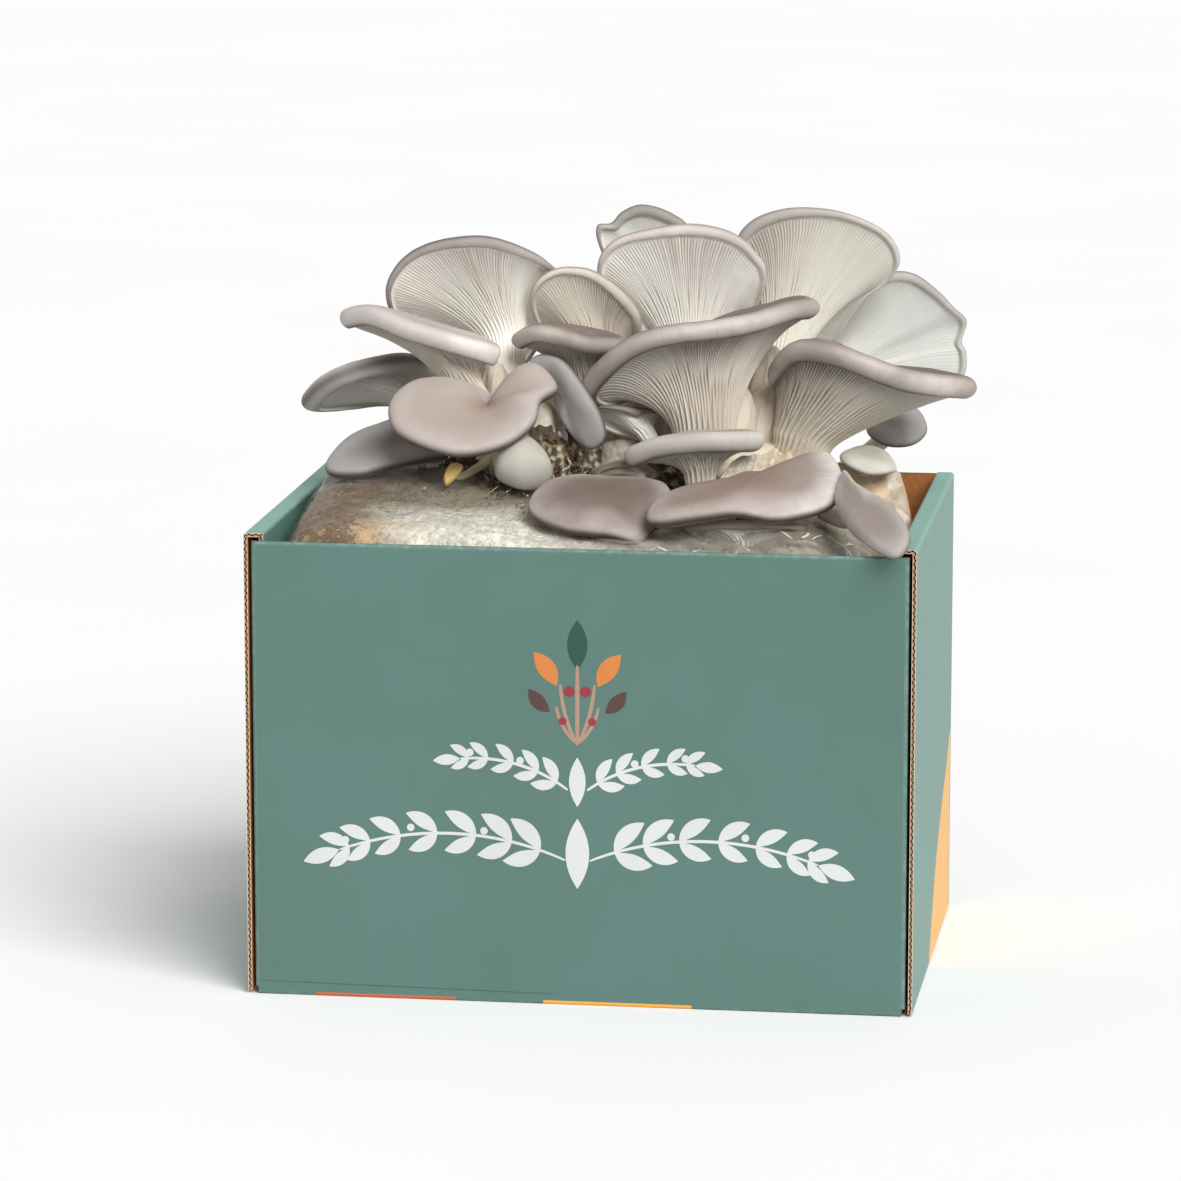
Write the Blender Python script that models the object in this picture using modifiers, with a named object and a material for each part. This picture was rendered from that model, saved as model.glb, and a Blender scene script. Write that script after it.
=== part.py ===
"""Oyster mushroom grow kit: a folded corrugated carton, a bagged substrate block and the
mushrooms that have grown out of it. Metres, +Z up, front towards -Y, origin at the middle
of the carton's underside. The mushrooms are measured in millimetres in a leaning frame."""
import math

import bmesh
import bpy
import numpy as np

MM = 0.001

# Carton.
WIDTH = 0.280
DEPTH = 0.192
HEIGHT = 0.197
BOARD = 0.0017
BAND = 0.008               # flat top of a rolled-over side wall
FOLD = 0.0022              # outside radius of a fold
PANEL_DROP = 0.0035        # how far the front and back panels stay below the side walls
PANEL_GAP = 0.0013         # slit between a side wall's raw end and the front panel
FLAP = 0.055               # flap of the front panel inside the double side wall
NOTCH = 0.0016             # radius of the die-cut notch at a lower front corner
GAP = 0.0003

# Block and its bag.
BLOCK_LEFT, BLOCK_RIGHT = -0.1275, 0.1245
BLOCK_FRONT, BLOCK_BACK = -0.0895, 0.0885
BLOCK_RISE = 0.001         # block's shoulder above the carton's rim
DOME = 0.008               # extra height in the middle
DENT = 0.010               # hollow at the front, under the mushrooms there
DENT_PLACE = (0.050, -0.090)
DENT_SPREAD = (0.075, 0.040)
FILM = 0.0003
BLOCK_SQUARENESS = 8       # 2 is a ball, higher is closer to a box
BLOCK_CUTS = 4

# Leaning frame of the cluster: across, up and towards the viewer, origin over the rim's middle.
TURN = math.radians(8.124)
LEAN = math.radians(10.784)

# Fused feet of the three clusters: centre and half-axes in the leaning frame, mm.
CLUSTER_BASES = {
    "left_cluster_base": ((-37, 23, -10), (19, 26, 22)),
    "middle_cluster_base": ((7, 18, -24), (13, 20, 15)),
    "right_cluster_base": ((62, 8, -14), (44, 20, 36)),
}
LUMP = 0.05                # height of a base's lumps, as a share of its radius
HOLE_LIP = 2               # mm, how far the film reaches in under a base

# Every mushroom: points around the rim of its cap, foot and top of the stem (hub), stem radii
# there, direction of the stem at the hub, side that the cap's top faces, rolled edge
# (above, below, inwards) and number of sides. Lengths in mm in the leaning frame.
MUSHROOMS = [
    dict(name="left_fan_mushroom", rim=[
        (-22, 95, -28), (-26, 103, -14), (-38, 109, 0), (-55, 113, 6), (-74, 111, 6),
        (-89, 103, 2), (-96, 90, -6), (-90, 76, -20), (-69, 65, -30), (-48, 51, -44),
        (-30, 69, -40)],
         foot=(-37, 31, -27), hub=(-45, 64, -24), stem=(7, 8.5), rise=(0, 0.85, -0.5), top=(0, 0.4, -0.9),
         edge=(3, 3, 4), sides=22),
    dict(name="left_funnel_mushroom", rim=[
        (-48, 62, -2), (-55, 64, 12), (-70, 68, 22), (-87, 73, 24), (-104, 80, 16), (-115, 80, 4),
        (-105, 82, -8), (-81, 76, -12), (-60, 68, -11)],
         foot=(-38, 31, -9), hub=(-60, 47, -1), stem=(5, 6), rise=(-0.5, 0.85, 0.1), top=(0, 1, 0),
         edge=(4, 5, 5), sides=22, flare=(0.35, 0.55)),
    dict(name="left_low_mushroom", rim=[
        (-67, 54, -42), (-75, 60, -28), (-86, 62, -14), (-98, 60, -3), (-113, 56, 4),
        (-125, 50, 2), (-132, 42, -8), (-125, 41, -18), (-112, 42, -30), (-95, 44, -44),
        (-76, 44, -54)],
         foot=(-47, 26, -21), hub=(-80, 39, -32), stem=(5, 6), rise=(-0.5, 0.85, 0), top=(0, 1, 0),
         edge=(5, 4, 6), sides=18),
    dict(name="left_kidney_mushroom", rim=[
        (-22, 48, 20), (-29, 42, 26), (-32, 32, 34), (-44, 23, 40), (-62, 19, 44), (-78, 22, 42),
        (-91, 30, 36), (-93, 42, 26), (-83, 51, 16), (-67, 52, 10), (-56, 48, 7), (-48, 44, 5),
        (-43, 49, 4), (-37, 57, 6), (-29, 57, 12)],
         foot=(-40, 27, 0), hub=(-52, 37, 14), stem=(4, 3.5), rise=(-0.2, 0.6, 0.7), top=(0, 0.8, 0.6),
         edge=(3, 4, 5), sides=22, lift=2, flare=(0.1, 0.35)),
    dict(name="left_corner_mushroom", rim=[
        (-68, 27, -8), (-69, 20, 2), (-79, 18, 10), (-93, 15, 17), (-105, 11, 20), (-117, 11, 18),
        (-121, 14, 12), (-113, 23, 2), (-103, 29, -4), (-86, 34, -12)],
         foot=(-47, 22, -4), hub=(-78, 18, -4), stem=(3.5, 3.5), rise=(-0.2, 0.9, 0.35), top=(0, 0.8, 0.6),
         edge=(3, 4, 5), sides=18, lift=2),
    dict(name="white_egg_mushroom", rim=[
        (-27, 18, 26), (-24, 12, 32), (-27, 7, 34), (-34, 5, 35), (-41, 6, 35), (-48, 10, 32),
        (-48, 17, 26), (-44, 23, 20), (-35, 24, 19)],
         foot=(-33, 20, 4), hub=(-36, 14, 22), stem=(4, 3), rise=(0, 0.3, 0.9), top=(0.1, -0.1, 1),
         edge=(9, 3, 9), sides=12, crown=12, lift=1),
    dict(name="yellow_bud", rim=[
        (-62, 14, 28), (-65, 9, 31), (-69, 6, 33), (-70, 10, 31), (-67, 15, 27)],
         foot=(-45, 23, 0), hub=(-66, 11, 28), stem=(2, 1.2), rise=(-0.1, 0.2, 0.9), top=(0, 0.3, 0.9),
         edge=(2, 1, 2), sides=12, crown=2.5, lift=0.5),
    dict(name="middle_fan_mushroom", rim=[
        (14, 78, -24), (10, 87, -19), (1, 95, -14), (-10, 100, -10), (-23, 100, -8),
        (-32, 94, -10), (-34, 84, -18), (-26, 68, -32), (-5, 47, -46), (11, 61, -38)],
         foot=(4, 32, -34), hub=(-3, 54, -28), stem=(5, 6.5), rise=(-0.1, 0.8, -0.5), top=(0, 0.4, -0.9),
         edge=(3, 3, 4), sides=18),
    dict(name="middle_funnel_mushroom", rim=[
        (8, 67, -8), (2, 66, 4), (-8, 66, 12), (-21, 69, 14), (-34, 72, 8), (-42, 70, -4),
        (-34, 74, -13), (-19, 74, -18), (-2, 71, -19)],
         foot=(6, 26, -24), hub=(-9, 47, -9), stem=(5, 5), rise=(-0.5, 0.85, 0.1), top=(0, 1, 0),
         edge=(4, 4, 5), sides=18),
    dict(name="finger_mushroom", rim=[
        (-29, 63, 3), (-20, 60, 9), (-11, 49, 13), (-4, 37, 15), (-2, 27, 15), (-7, 22, 13),
        (-13, 25, 10), (-19, 33, 8), (-23, 43, 4), (-28, 54, 2), (-34, 60, 0)],
         foot=(-26, 28, -12), hub=(-15, 42, 3), stem=(3, 2.2), rise=(0, 0.2, 0.9), top=(0, 0, 1),
         edge=(3, 3, 4), sides=12, crown=4, lift=0.5),
    dict(name="side_gilled_mushroom", rim=[
        (27, 38, -12), (20, 38, -4), (11, 37, 3), (1, 38, 6), (-9, 39, 2), (-6, 36, -4),
        (5, 33, -10), (18, 32, -16)],
         foot=(25, 19, -4), hub=(14, 27, -2), stem=(5, 3.5), rise=(-0.4, 0.8, 0.1), top=(0, 1, -0.2),
         edge=(2, 2, 3), sides=18, lift=3, thick=2.5),
    dict(name="back_lobed_mushroom", rim=[
        (36, 118, -60), (28, 127, -57), (15, 131, -56), (6, 128, -57), (1, 123, -58),
        (-5, 122, -58), (-5, 115, -60), (1, 102, -65), (18, 72, -78), (38, 90, -73)],
         foot=(37, 11, -78), hub=(22, 98, -66), stem=(5, 5), rise=(0, 1, -0.25), top=(0, 0.3, -0.9),
         edge=(2, 3, 4), sides=18),
    dict(name="centre_fan_mushroom", rim=[
        (68, 96, -30), (63, 109, -26), (52, 117, -22), (35, 120, -20), (18, 118, -20),
        (2, 113, -22), (-5, 103, -26), (-2, 88, -34), (14, 68, -44), (36, 45, -58), (55, 66, -48)],
         foot=(36, 16, -36), hub=(35, 57, -42), stem=(8, 9), rise=(0, 0.85, -0.5), top=(0, 0.4, -0.9),
         edge=(3, 3, 4), sides=22),
    dict(name="back_right_fan_mushroom", rim=[
        (127, 107, -48), (122, 117, -46), (110, 124, -44), (94, 128, -42), (76, 128, -42),
        (61, 122, -44), (55, 110, -48), (57, 78, -60), (73, 44, -78), (96, 67, -68),
        (111, 88, -58), (123, 98, -52)],
         foot=(66, 16, -42), hub=(74, 59, -54), stem=(7, 9), rise=(0.1, 0.85, -0.5), top=(0, 0.4, -0.9),
         edge=(3, 3, 4), sides=22),
    dict(name="far_right_fan_mushroom", rim=[
        (158, 81, -78), (152, 87, -74), (145, 94, -72), (135, 101, -70), (124, 102, -68),
        (110, 96, -69), (95, 86, -73), (79, 62, -86), (85, 41, -98), (107, 40, -98),
        (147, 50, -88), (157, 57, -82), (158, 67, -80), (156, 72, -80)],
         foot=(80, 14, -44), hub=(93, 52, -80), stem=(7, 8), rise=(0.4, 0.75, -0.5), top=(0, 0.3, -0.9),
         edge=(2, 2.5, 4), sides=22),
    dict(name="small_fan_mushroom", rim=[
        (103, 66, -30), (96, 70, -29), (88, 71, -30), (82, 68, -32), (82, 58, -40), (90, 48, -46),
        (100, 56, -39)],
         foot=(82, 18, -30), hub=(89, 58, -34), stem=(3, 3), rise=(0, 0.8, -0.5), top=(0, 0.4, -0.9),
         edge=(2, 2, 3), sides=12),
    dict(name="centre_funnel_mushroom", rim=[
        (90, 84, 0), (81, 82, 14), (64, 76, 26), (44, 73, 32), (26, 70, 32), (6, 64, 24),
        (-6, 55, 16), (-13, 45, 8), (-5, 42, 0), (10, 49, -14), (31, 65, -28), (56, 77, -26),
        (82, 85, -12)],
         foot=(41, 9, 8), hub=(40, 27, 8), stem=(8, 12), rise=(0, 1, 0), top=(0, 1, 0),
         edge=(5, 4, 6), sides=22),
    dict(name="right_funnel_mushroom", rim=[
        (157, 48, 2), (144, 49, 18), (127, 52, 26), (110, 57, 28), (93, 62, 26), (76, 64, 20),
        (68, 57, 8), (71, 53, -6), (91, 56, -18), (117, 54, -20), (142, 52, -14)],
         foot=(72, 11, -4), hub=(83, 26, -4), stem=(8, 12), rise=(0.3, 0.9, 0), top=(0, 1, 0),
         edge=(5, 5, 6), sides=22),
    dict(name="flat_mushroom", rim=[
        (65, 26, 40), (50, 25, 50), (34, 24, 53), (17, 22, 49), (6, 18, 40), (15, 21, 28),
        (34, 26, 24), (55, 27, 28)],
         foot=(38, 0, 30), hub=(38, 9, 34), stem=(4, 6), rise=(0, 1, 0.1), top=(0, 1, 0),
         edge=(4, 5, 5), sides=18),
    dict(name="front_left_mushroom", rim=[
        (26, 1, 42), (23, -7, 58), (17, -14, 70), (12, -18, 76), (0, -15, 78), (-17, -13, 77),
        (-29, -8, 72), (-34, -2, 64), (-28, 6, 54), (-15, 10, 46), (2, 9, 40), (21, 7, 40)],
         foot=(26, -12, 36), hub=(7, -2, 46), stem=(4.5, 4.5), rise=(-0.3, 0.7, 0.6), top=(0, 0.8, 0.6),
         edge=(3, 4, 5), sides=22, lift=2),
    dict(name="curled_bud", rim=[
        (21, 11, 26), (18, 15, 28), (11, 16, 30), (2, 14, 29), (4, 9, 26), (16, 6, 23)],
         foot=(19, 0, 26), hub=(13, 10, 32), stem=(3, 2.2), rise=(-0.2, 0.8, -0.4), top=(0, 0.4, -0.9),
         edge=(2, 2, 3), sides=12, lift=1, thick=3),
    dict(name="front_long_mushroom", rim=[
        (97, 9, 60), (95, 0, 70), (85, -5, 78), (68, -8, 82), (52, -6, 85), (37, -8, 86),
        (21, -10, 84), (15, -8, 78), (21, 0, 68), (42, 5, 54), (67, 9, 44), (82, 16, 40),
        (92, 19, 46)],
         foot=(57, -14, 38), hub=(60, -2, 50), stem=(5, 5), rise=(0, 0.8, 0.5), top=(0, 0.8, 0.6),
         edge=(3, 4, 5), sides=22, lift=2),
    dict(name="corner_tongue_mushroom", rim=[
        (101, 5, 68), (107, 1, 78), (115, -5, 94), (119, -14, 110), (120, -21, 119),
        (114, -25, 121), (106, -19, 112), (99, -10, 94), (95, -1, 74)],
         foot=(89, -4, 52), hub=(104, -5, 74), stem=(4, 3.5), rise=(0.2, 0.5, 0.7), top=(0.2, 0.3, 0.9),
         edge=(4, 2.5, 5), sides=12, crown=6, lift=1),
    dict(name="grey_back_mushroom", rim=[
        (138, 31, -36), (135, 40, -40), (127, 43, -42), (116, 40, -43), (112, 31, -40),
        (120, 25, -34), (131, 25, -32)],
         foot=(92, 8, -48), hub=(122, 31, -44), stem=(4, 3.5), rise=(0.3, 0.4, 0.8), top=(0, 0.3, 0.9),
         edge=(3, 3, 4), sides=12, crown=5, lift=1),
    dict(name="white_button_mushroom", rim=[
        (123, 15, -4), (120, 13, 2), (110, 12, 6), (101, 16, 4), (99, 20, -4), (109, 23, -12),
        (118, 21, -12)],
         foot=(95, 11, -10), hub=(110, 15, -9), stem=(4, 3.5), rise=(0.3, 0.8, 0.3), top=(0, 0.9, 0.4),
         edge=(4, 3, 5), sides=12, crown=5, lift=1),
    dict(name="low_gilled_mushroom", rim=[
        (81, -12, 70), (70, -10, 74), (54, -9, 75), (37, -10, 74), (31, -13, 70), (42, -19, 64),
        (58, -22, 60), (75, -19, 64)],
         foot=(58, -30, 68), hub=(57, -20, 71), stem=(4, 4), rise=(0, 0.85, -0.1), top=(0, 0.3, -0.9),
         edge=(2, 2, 3), sides=18, lift=2),
]
GILL_RELIEF = 0.6          # mm, height of the ridges under a cap
GILLED_SIDES = 18          # caps with at least this many sides carry the ridges
STEM_STEPS = (0, 0.55, 1)  # where the rings lie between foot and hub
GILL_STEP = 0.45           # where the gills' ring lies between hub and edge
TOP_STEPS = {True: (0.35, 0.72), False: (0.5,)}   # rings on top, for gilled and plain caps
EDGE_SHARE = 0.45          # most of the way from hub to rim that the rolled edge may take
STEM_PULL = 0.35           # how far a cap's outward direction follows the stem, not its middle

COLOURS = {
    "carton": ((0.13, 0.25, 0.21), 0.75),
    "block": ((0.52, 0.43, 0.31), 0.85),
    "film": ((0.75, 0.73, 0.68), 0.25),
    "flesh": ((0.78, 0.72, 0.64), 0.6),
    "cap": ((0.50, 0.44, 0.41), 0.55),
}


def clear_scene():
    for item in list(bpy.data.objects):
        bpy.data.objects.remove(item, do_unlink=True)


def new_collection(name):
    group = bpy.data.collections.new(name)
    bpy.context.scene.collection.children.link(group)
    return group


def material_for(name, colour, roughness):
    made = bpy.data.materials.new(name)
    made.use_nodes = True
    shader = made.node_tree.nodes["Principled BSDF"]
    shader.inputs["Base Color"].default_value = (*colour, 1)
    shader.inputs["Roughness"].default_value = roughness
    shader.inputs["Metallic"].default_value = 0
    return made


def add_object(name, mesh, group, look=None, parent=None):
    item = bpy.data.objects.new(name, mesh)
    group.objects.link(item)
    item.parent = parent
    if look:
        colour, roughness = COLOURS[look]
        mesh.materials.append(material_for(name + "_look", colour, roughness))
    return item


def mesh_from_bmesh(name, bm):
    bmesh.ops.recalc_face_normals(bm, faces=bm.faces)
    mesh = bpy.data.meshes.new(name)
    bm.to_mesh(mesh)
    bm.free()
    return mesh


def hide_tool(item):
    item.hide_render = True
    item.display_type = "WIRE"


def boolean(item, operation, operand):
    step = item.modifiers.new(operation.lower(), "BOOLEAN")
    step.operation = operation
    step.solver = "EXACT"
    if isinstance(operand, bpy.types.Collection):
        step.operand_type = "COLLECTION"
        step.collection = operand
    else:
        step.object = operand


# ---- carton ----

def folded(corner, before, after, radius, steps=3):
    """Arc of points that rounds the fold at corner between two directions."""
    corner, before, after = (np.array(v, float) for v in (corner, before, after))
    start = corner - before * radius
    points = []
    for step in range(steps):
        angle = math.pi / 2 * step / (steps - 1)
        step_out = before * math.sin(angle) + after * (1 - math.cos(angle))
        points.append(start + radius * step_out)
    return points


def sheet(name, outline, along, length, group, look=None):
    """Open strip swept from an outline, thickened inwards to the board's thickness."""
    bm = bmesh.new()
    near = [bm.verts.new(p) for p in outline]
    far = [bm.verts.new(p + along * length) for p in outline]
    for i in range(len(outline) - 1):
        bm.faces.new((near[i], near[i + 1], far[i + 1], far[i]))
    mesh = bpy.data.meshes.new(name)
    bm.to_mesh(mesh)
    bm.free()
    item = add_object(name, mesh, group, look)
    thick = item.modifiers.new("board", "SOLIDIFY")
    thick.thickness = BOARD
    thick.offset = -1
    return item


def side_walls_and_bottom(group):
    """One sheet: inner leaf, band, outer leaf, bottom and the same again on the right."""
    half, inner = WIDTH / 2, WIDTH / 2 - BAND
    down, up, left, right = (0, 0, -1), (0, 0, 1), (-1, 0, 0), (1, 0, 0)
    low = DEPTH / 2
    path = [np.array((-inner, 0, BOARD + GAP))]
    path += folded((-inner, 0, HEIGHT), up, left, FOLD)
    path += folded((-half, 0, HEIGHT), left, down, FOLD)
    path += folded((-half, 0, 0), down, right, FOLD)
    path += folded((half, 0, 0), right, up, FOLD)
    path += folded((half, 0, HEIGHT), up, left, FOLD)
    path += folded((inner, 0, HEIGHT), left, down, FOLD)
    path.append(np.array((inner, 0, BOARD + GAP)))
    path = [p - np.array((0, low, 0)) for p in reversed(path)]
    return sheet("carton", path, np.array((0, 1, 0)), DEPTH, group, "carton")


def end_panel(name, side, group):
    """Front (side -1) or back (side 1) panel with its two flaps inside the side walls."""
    half = WIDTH / 2 - BOARD - PANEL_GAP
    face = DEPTH / 2 * side
    outward, inward = (0, side, 0), (0, -side, 0)
    path = [np.array((-half, face - side * FLAP, 0))]
    path += folded((-half, face, 0), outward, (1, 0, 0), FOLD)
    path += folded((half, face, 0), (1, 0, 0), inward, FOLD)
    path.append(np.array((half, face - side * FLAP, 0)))
    if side == 1:
        path.reverse()
    return sheet(name, path, np.array((0, 0, 1)), HEIGHT - PANEL_DROP, group)


def box_tool(name, low, high, group):
    bm = bmesh.new()
    bmesh.ops.create_cube(bm, size=1)
    low, high = np.array(low), np.array(high)
    for vert in bm.verts:
        vert.co = (low + high) / 2 + np.array(vert.co) * (high - low)
    item = add_object(name, mesh_from_bmesh(name, bm), group)
    hide_tool(item)
    return item


def notch_tool(side, group):
    bm = bmesh.new()
    bmesh.ops.create_cone(bm, cap_ends=True, segments=10, radius1=NOTCH, radius2=NOTCH, depth=4 * BOARD)
    item = add_object("notch_tool", mesh_from_bmesh("notch_tool", bm), group)
    item.rotation_euler = (math.pi / 2, 0, 0)
    across = WIDTH / 2 - BOARD - PANEL_GAP - NOTCH / 2
    item.location = (side * across, -DEPTH / 2 - BOARD / 2, BOARD + 2 * NOTCH)
    hide_tool(item)
    return item


def make_carton(parts, tools):
    carton = side_walls_and_bottom(parts)
    reach = WIDTH / 2 - BAND + BOARD + GAP
    for name, side in (("front", -1), ("back", 1)):
        face = DEPTH / 2 * side
        ends = sorted((face + side * BOARD, face - side * (BOARD + GAP)))
        low = (-reach, ends[0], BOARD + GAP / 2)
        high = (reach, ends[1], HEIGHT - BOARD)
        boolean(carton, "DIFFERENCE", box_tool(name + "_room", low, high, tools))
        panel = end_panel(name + "_panel", side, tools)
        hide_tool(panel)
        if side == -1:
            for end in (-1, 1):
                boolean(panel, "DIFFERENCE", notch_tool(end, tools))
        boolean(carton, "UNION", panel)


# ---- block and bag ----

def block_form(name, grow):
    """Cushioned box with a low dome, all its faces moved out by grow."""
    bm = bmesh.new()
    bmesh.ops.create_cube(bm, size=2)
    bmesh.ops.subdivide_edges(bm, edges=bm.edges, cuts=BLOCK_CUTS, use_grid_fill=True)
    bottom = BOARD + 2 * GAP + FILM
    low = np.array((BLOCK_LEFT, BLOCK_FRONT, bottom)) - grow
    high = np.array((BLOCK_RIGHT, BLOCK_BACK, HEIGHT + BLOCK_RISE)) + grow
    for vert in bm.verts:
        p = np.sin(np.array(vert.co) * math.pi / 2)
        norm = np.sum(np.abs(p) ** BLOCK_SQUARENESS) ** (1 / BLOCK_SQUARENESS)
        p = p * np.abs(p).max() / norm
        place = (low + high) / 2 + p * (high - low) / 2
        swell = DOME * (1 - p[0] ** 2) * (1 - p[1] ** 2)
        near = np.sum(((place[:2] - DENT_PLACE) / DENT_SPREAD) ** 2)
        place[2] += max(p[2], 0) * (swell - DENT * math.exp(-near))
        vert.co = place
    return mesh_from_bmesh(name, bm)


def make_block_and_bag(parts, openings):
    block = add_object("substrate_block", block_form("substrate_block", 0), parts, "block")
    block.data.shade_smooth()
    bag = add_object("grow_bag", block_form("grow_bag", GAP), parts, "film")
    bag.data.shade_smooth()
    thick = bag.modifiers.new("film", "SOLIDIFY")
    thick.thickness = FILM
    thick.offset = 1
    for tool in openings:
        boolean(bag, "DIFFERENCE", tool)


# ---- mushrooms ----

def unit(v):
    return v / np.linalg.norm(v, axis=-1, keepdims=True)


def lumpy_ball(name, radii, grow):
    """Ellipsoid with soft lumps from three crossed sine waves."""
    bm = bmesh.new()
    bmesh.ops.create_icosphere(bm, subdivisions=2, radius=1)
    for vert in bm.verts:
        p = np.array(vert.co)
        wave = math.sin(5 * p[0] + 1) + math.sin(6 * p[1] - p[2]) + math.sin(5 * p[2] + 3 * p[0])
        size = (1 + LUMP * wave) * np.array(radii) + grow
        vert.co = p * size * MM
    return mesh_from_bmesh(name, bm)


def closed_curve(points, count):
    """Closed Catmull-Rom curve through the points, sampled at even steps of its length."""
    fine = 40
    t = np.arange(len(points) * fine) / fine
    index = t.astype(int)
    f = (t - index)[:, None]
    p0, p1, p2, p3 = (points[(index + k) % len(points)] for k in (-1, 0, 1, 2))
    curve = 0.5 * (2 * p1 + (p2 - p0) * f + (2 * p0 - 5 * p1 + 4 * p2 - p3) * f ** 2
                   + (3 * p1 - p0 - 3 * p2 + p3) * f ** 3)
    step = np.linalg.norm(np.roll(curve, -1, 0) - curve, axis=1)
    length = np.concatenate([[0], np.cumsum(step)])
    wanted = np.linspace(0, length[-1], count, endpoint=False)
    loop = np.vstack([curve, curve[:1]])
    return np.stack([np.interp(wanted, length, loop[:, k]) for k in range(3)], 1)


def cubic(a, b, c, d, t):
    return (1 - t) ** 3 * a + 3 * (1 - t) ** 2 * t * b + 3 * (1 - t) * t * t * c + t ** 3 * d


def mushroom_rings(rim, foot, hub, stem, rise, top, edge, sides, crown=None, lift=12, thick=4,
                   flare=(0.35, 0.35)):
    """Rings of points from the foot up the stem, out under the cap, round its edge and back
    over the top, and the two end points."""
    rim = closed_curve(np.array(rim, float), sides)
    foot, hub, rise, top = (np.array(v, float) for v in (foot, hub, rise, top))
    angle = np.arange(sides) * 2 * math.pi / sides
    centre = rim.mean(0)
    spoke = rim - centre
    normal = unit(np.cross(spoke, np.roll(spoke, -1, 0)).sum(0))
    rise = unit(rise)
    wind = 1 if normal @ rise > 0 else -1
    if normal @ top < 0:
        normal = -normal
    # The stem's ring starts where it faces the rim's first point.
    a = unit(np.cross(rise, (0.31, 0.17, 0.93)))
    b = wind * np.cross(rise, a)
    phase = np.angle(np.sum((spoke @ a + 1j * (spoke @ b)) * np.exp(-1j * angle)))
    first = math.cos(phase) * a + math.sin(phase) * b
    middle = hub - rise * np.linalg.norm(hub - foot) / 2
    rings = []
    for t in STEM_STEPS:
        spot = (1 - t) ** 2 * foot + 2 * (1 - t) * t * middle + t * t * hub
        along = unit((1 - t) * (middle - foot) + t * (hub - middle))
        e1 = unit(first - (along @ first) * along)
        e2 = wind * np.cross(along, e1)
        radius = stem[0] + (stem[1] - stem[0]) * t ** 1.5
        rings.append(spot + radius * (np.outer(np.cos(angle), e1) + np.outer(np.sin(angle), e2)))
    ring = rings[-1]
    # Outward direction in the cap's plane, partly from the stem and partly from the middle.
    flat = [v - np.outer(v @ normal, normal) for v in (rim - hub, spoke)]
    out = unit(STEM_PULL * unit(flat[0]) + (1 - STEM_PULL) * unit(flat[1]))
    above, below, inwards = edge
    room = np.maximum(np.linalg.norm(flat[0], axis=1) - stem[1], 1)[:, None]
    inwards = np.minimum(inwards, EDGE_SHARE * room)
    under_edge = rim - out * inwards - normal * below
    over_edge = rim - out * inwards + normal * above
    reach = np.linalg.norm(under_edge - ring, axis=1)[:, None]
    under_1 = ring + rise * np.minimum(flare[0] * reach, lift)
    under_2 = under_edge - out * flare[1] * reach
    gills = cubic(ring, under_1, under_2, under_edge, GILL_STEP)
    gilled = sides >= GILLED_SIDES
    if gilled:
        around = np.roll(gills, -1, 0) - np.roll(gills, 1, 0)
        ridge = wind * GILL_RELIEF * (-1) ** np.arange(sides)[:, None]
        gills = gills + ridge * unit(np.cross(around, under_edge - ring))
    rings += [gills, under_edge, rim, over_edge]
    if crown is not None:
        pole = centre + normal * crown
        span = np.linalg.norm(over_edge - pole, axis=1)[:, None]
        over_1 = pole + unit(flat[1]) * 0.35 * span
        over_2 = over_edge - out * 0.35 * span
    else:
        lean = math.sqrt(max(0, 1 - (normal @ rise) ** 2))
        pole = hub + normal * (stem[1] * lean + thick)
        over_1 = under_1 + normal * (thick + stem[1] * lean * 0.6) - (ring - hub) * 0.7
        over_2 = under_2 + (over_edge - under_edge) + normal * thick * 0.3 - out * 2
    rings += [cubic(over_edge, over_2, over_1, pole, t) for t in TOP_STEPS[gilled]]
    return rings, foot, pole


def make_mushroom(spec, parts, frame, ground):
    spec = dict(spec)
    name = spec.pop("name")
    rings, foot, pole = mushroom_rings(**spec)
    sides = len(rings[0])
    bm = bmesh.new()
    loops = [[bm.verts.new(p * MM) for p in ring] for ring in rings]
    for low, high in zip(loops, loops[1:]):
        for i in range(sides):
            k = (i + 1) % sides
            bm.faces.new((low[i], low[k], high[k], high[i]))
    for end, loop in ((foot, loops[0]), (pole, loops[-1])):
        tip = bm.verts.new(end * MM)
        for i in range(sides):
            bm.faces.new((loop[i], loop[(i + 1) % sides], tip))
    bmesh.ops.triangulate(bm, faces=[f for f in bm.faces if len(f.verts) == 4])
    item = add_object(name, mesh_from_bmesh(name, bm), parts, "cap", frame)
    item.data.shade_smooth()
    boolean(item, "DIFFERENCE", ground)
    return item


def main():
    clear_scene()
    parts = new_collection("oyster_mushroom_grow_kit")
    tools = new_collection("tools")
    ground = new_collection("ground")
    frame = bpy.data.objects.new("cluster_frame", None)
    parts.objects.link(frame)
    frame.location = (0, 0, HEIGHT)
    frame.rotation_euler = (math.pi / 2 - LEAN, 0, TURN)

    make_carton(parts, tools)
    bag_top = add_object("bag_clearance", block_form("bag_clearance", 2 * GAP + FILM), ground)
    hide_tool(bag_top)
    openings = []
    for name, (centre, radii) in CLUSTER_BASES.items():
        base, clearance, opening = (
            add_object(name + end, lumpy_ball(name + end, radii, grow), group, look, frame)
            for end, grow, group, look in (("", 0, parts, "flesh"),
                                           ("_clearance", GAP / MM, ground, None),
                                           ("_opening", -HOLE_LIP, tools, None)))
        for item in (base, clearance, opening):
            item.location = np.array(centre) * MM
        base.data.shade_smooth()
        boolean(base, "DIFFERENCE", bag_top)
        hide_tool(clearance)
        hide_tool(opening)
        openings.append(opening)
    make_block_and_bag(parts, openings)
    for spec in MUSHROOMS:
        make_mushroom(spec, parts, frame, ground)


main()
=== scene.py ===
# Looks of an oyster mushroom grow kit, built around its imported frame.
# Metres; front is -Y, right is +X, and the carton stands on z = 0.
import math

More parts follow.
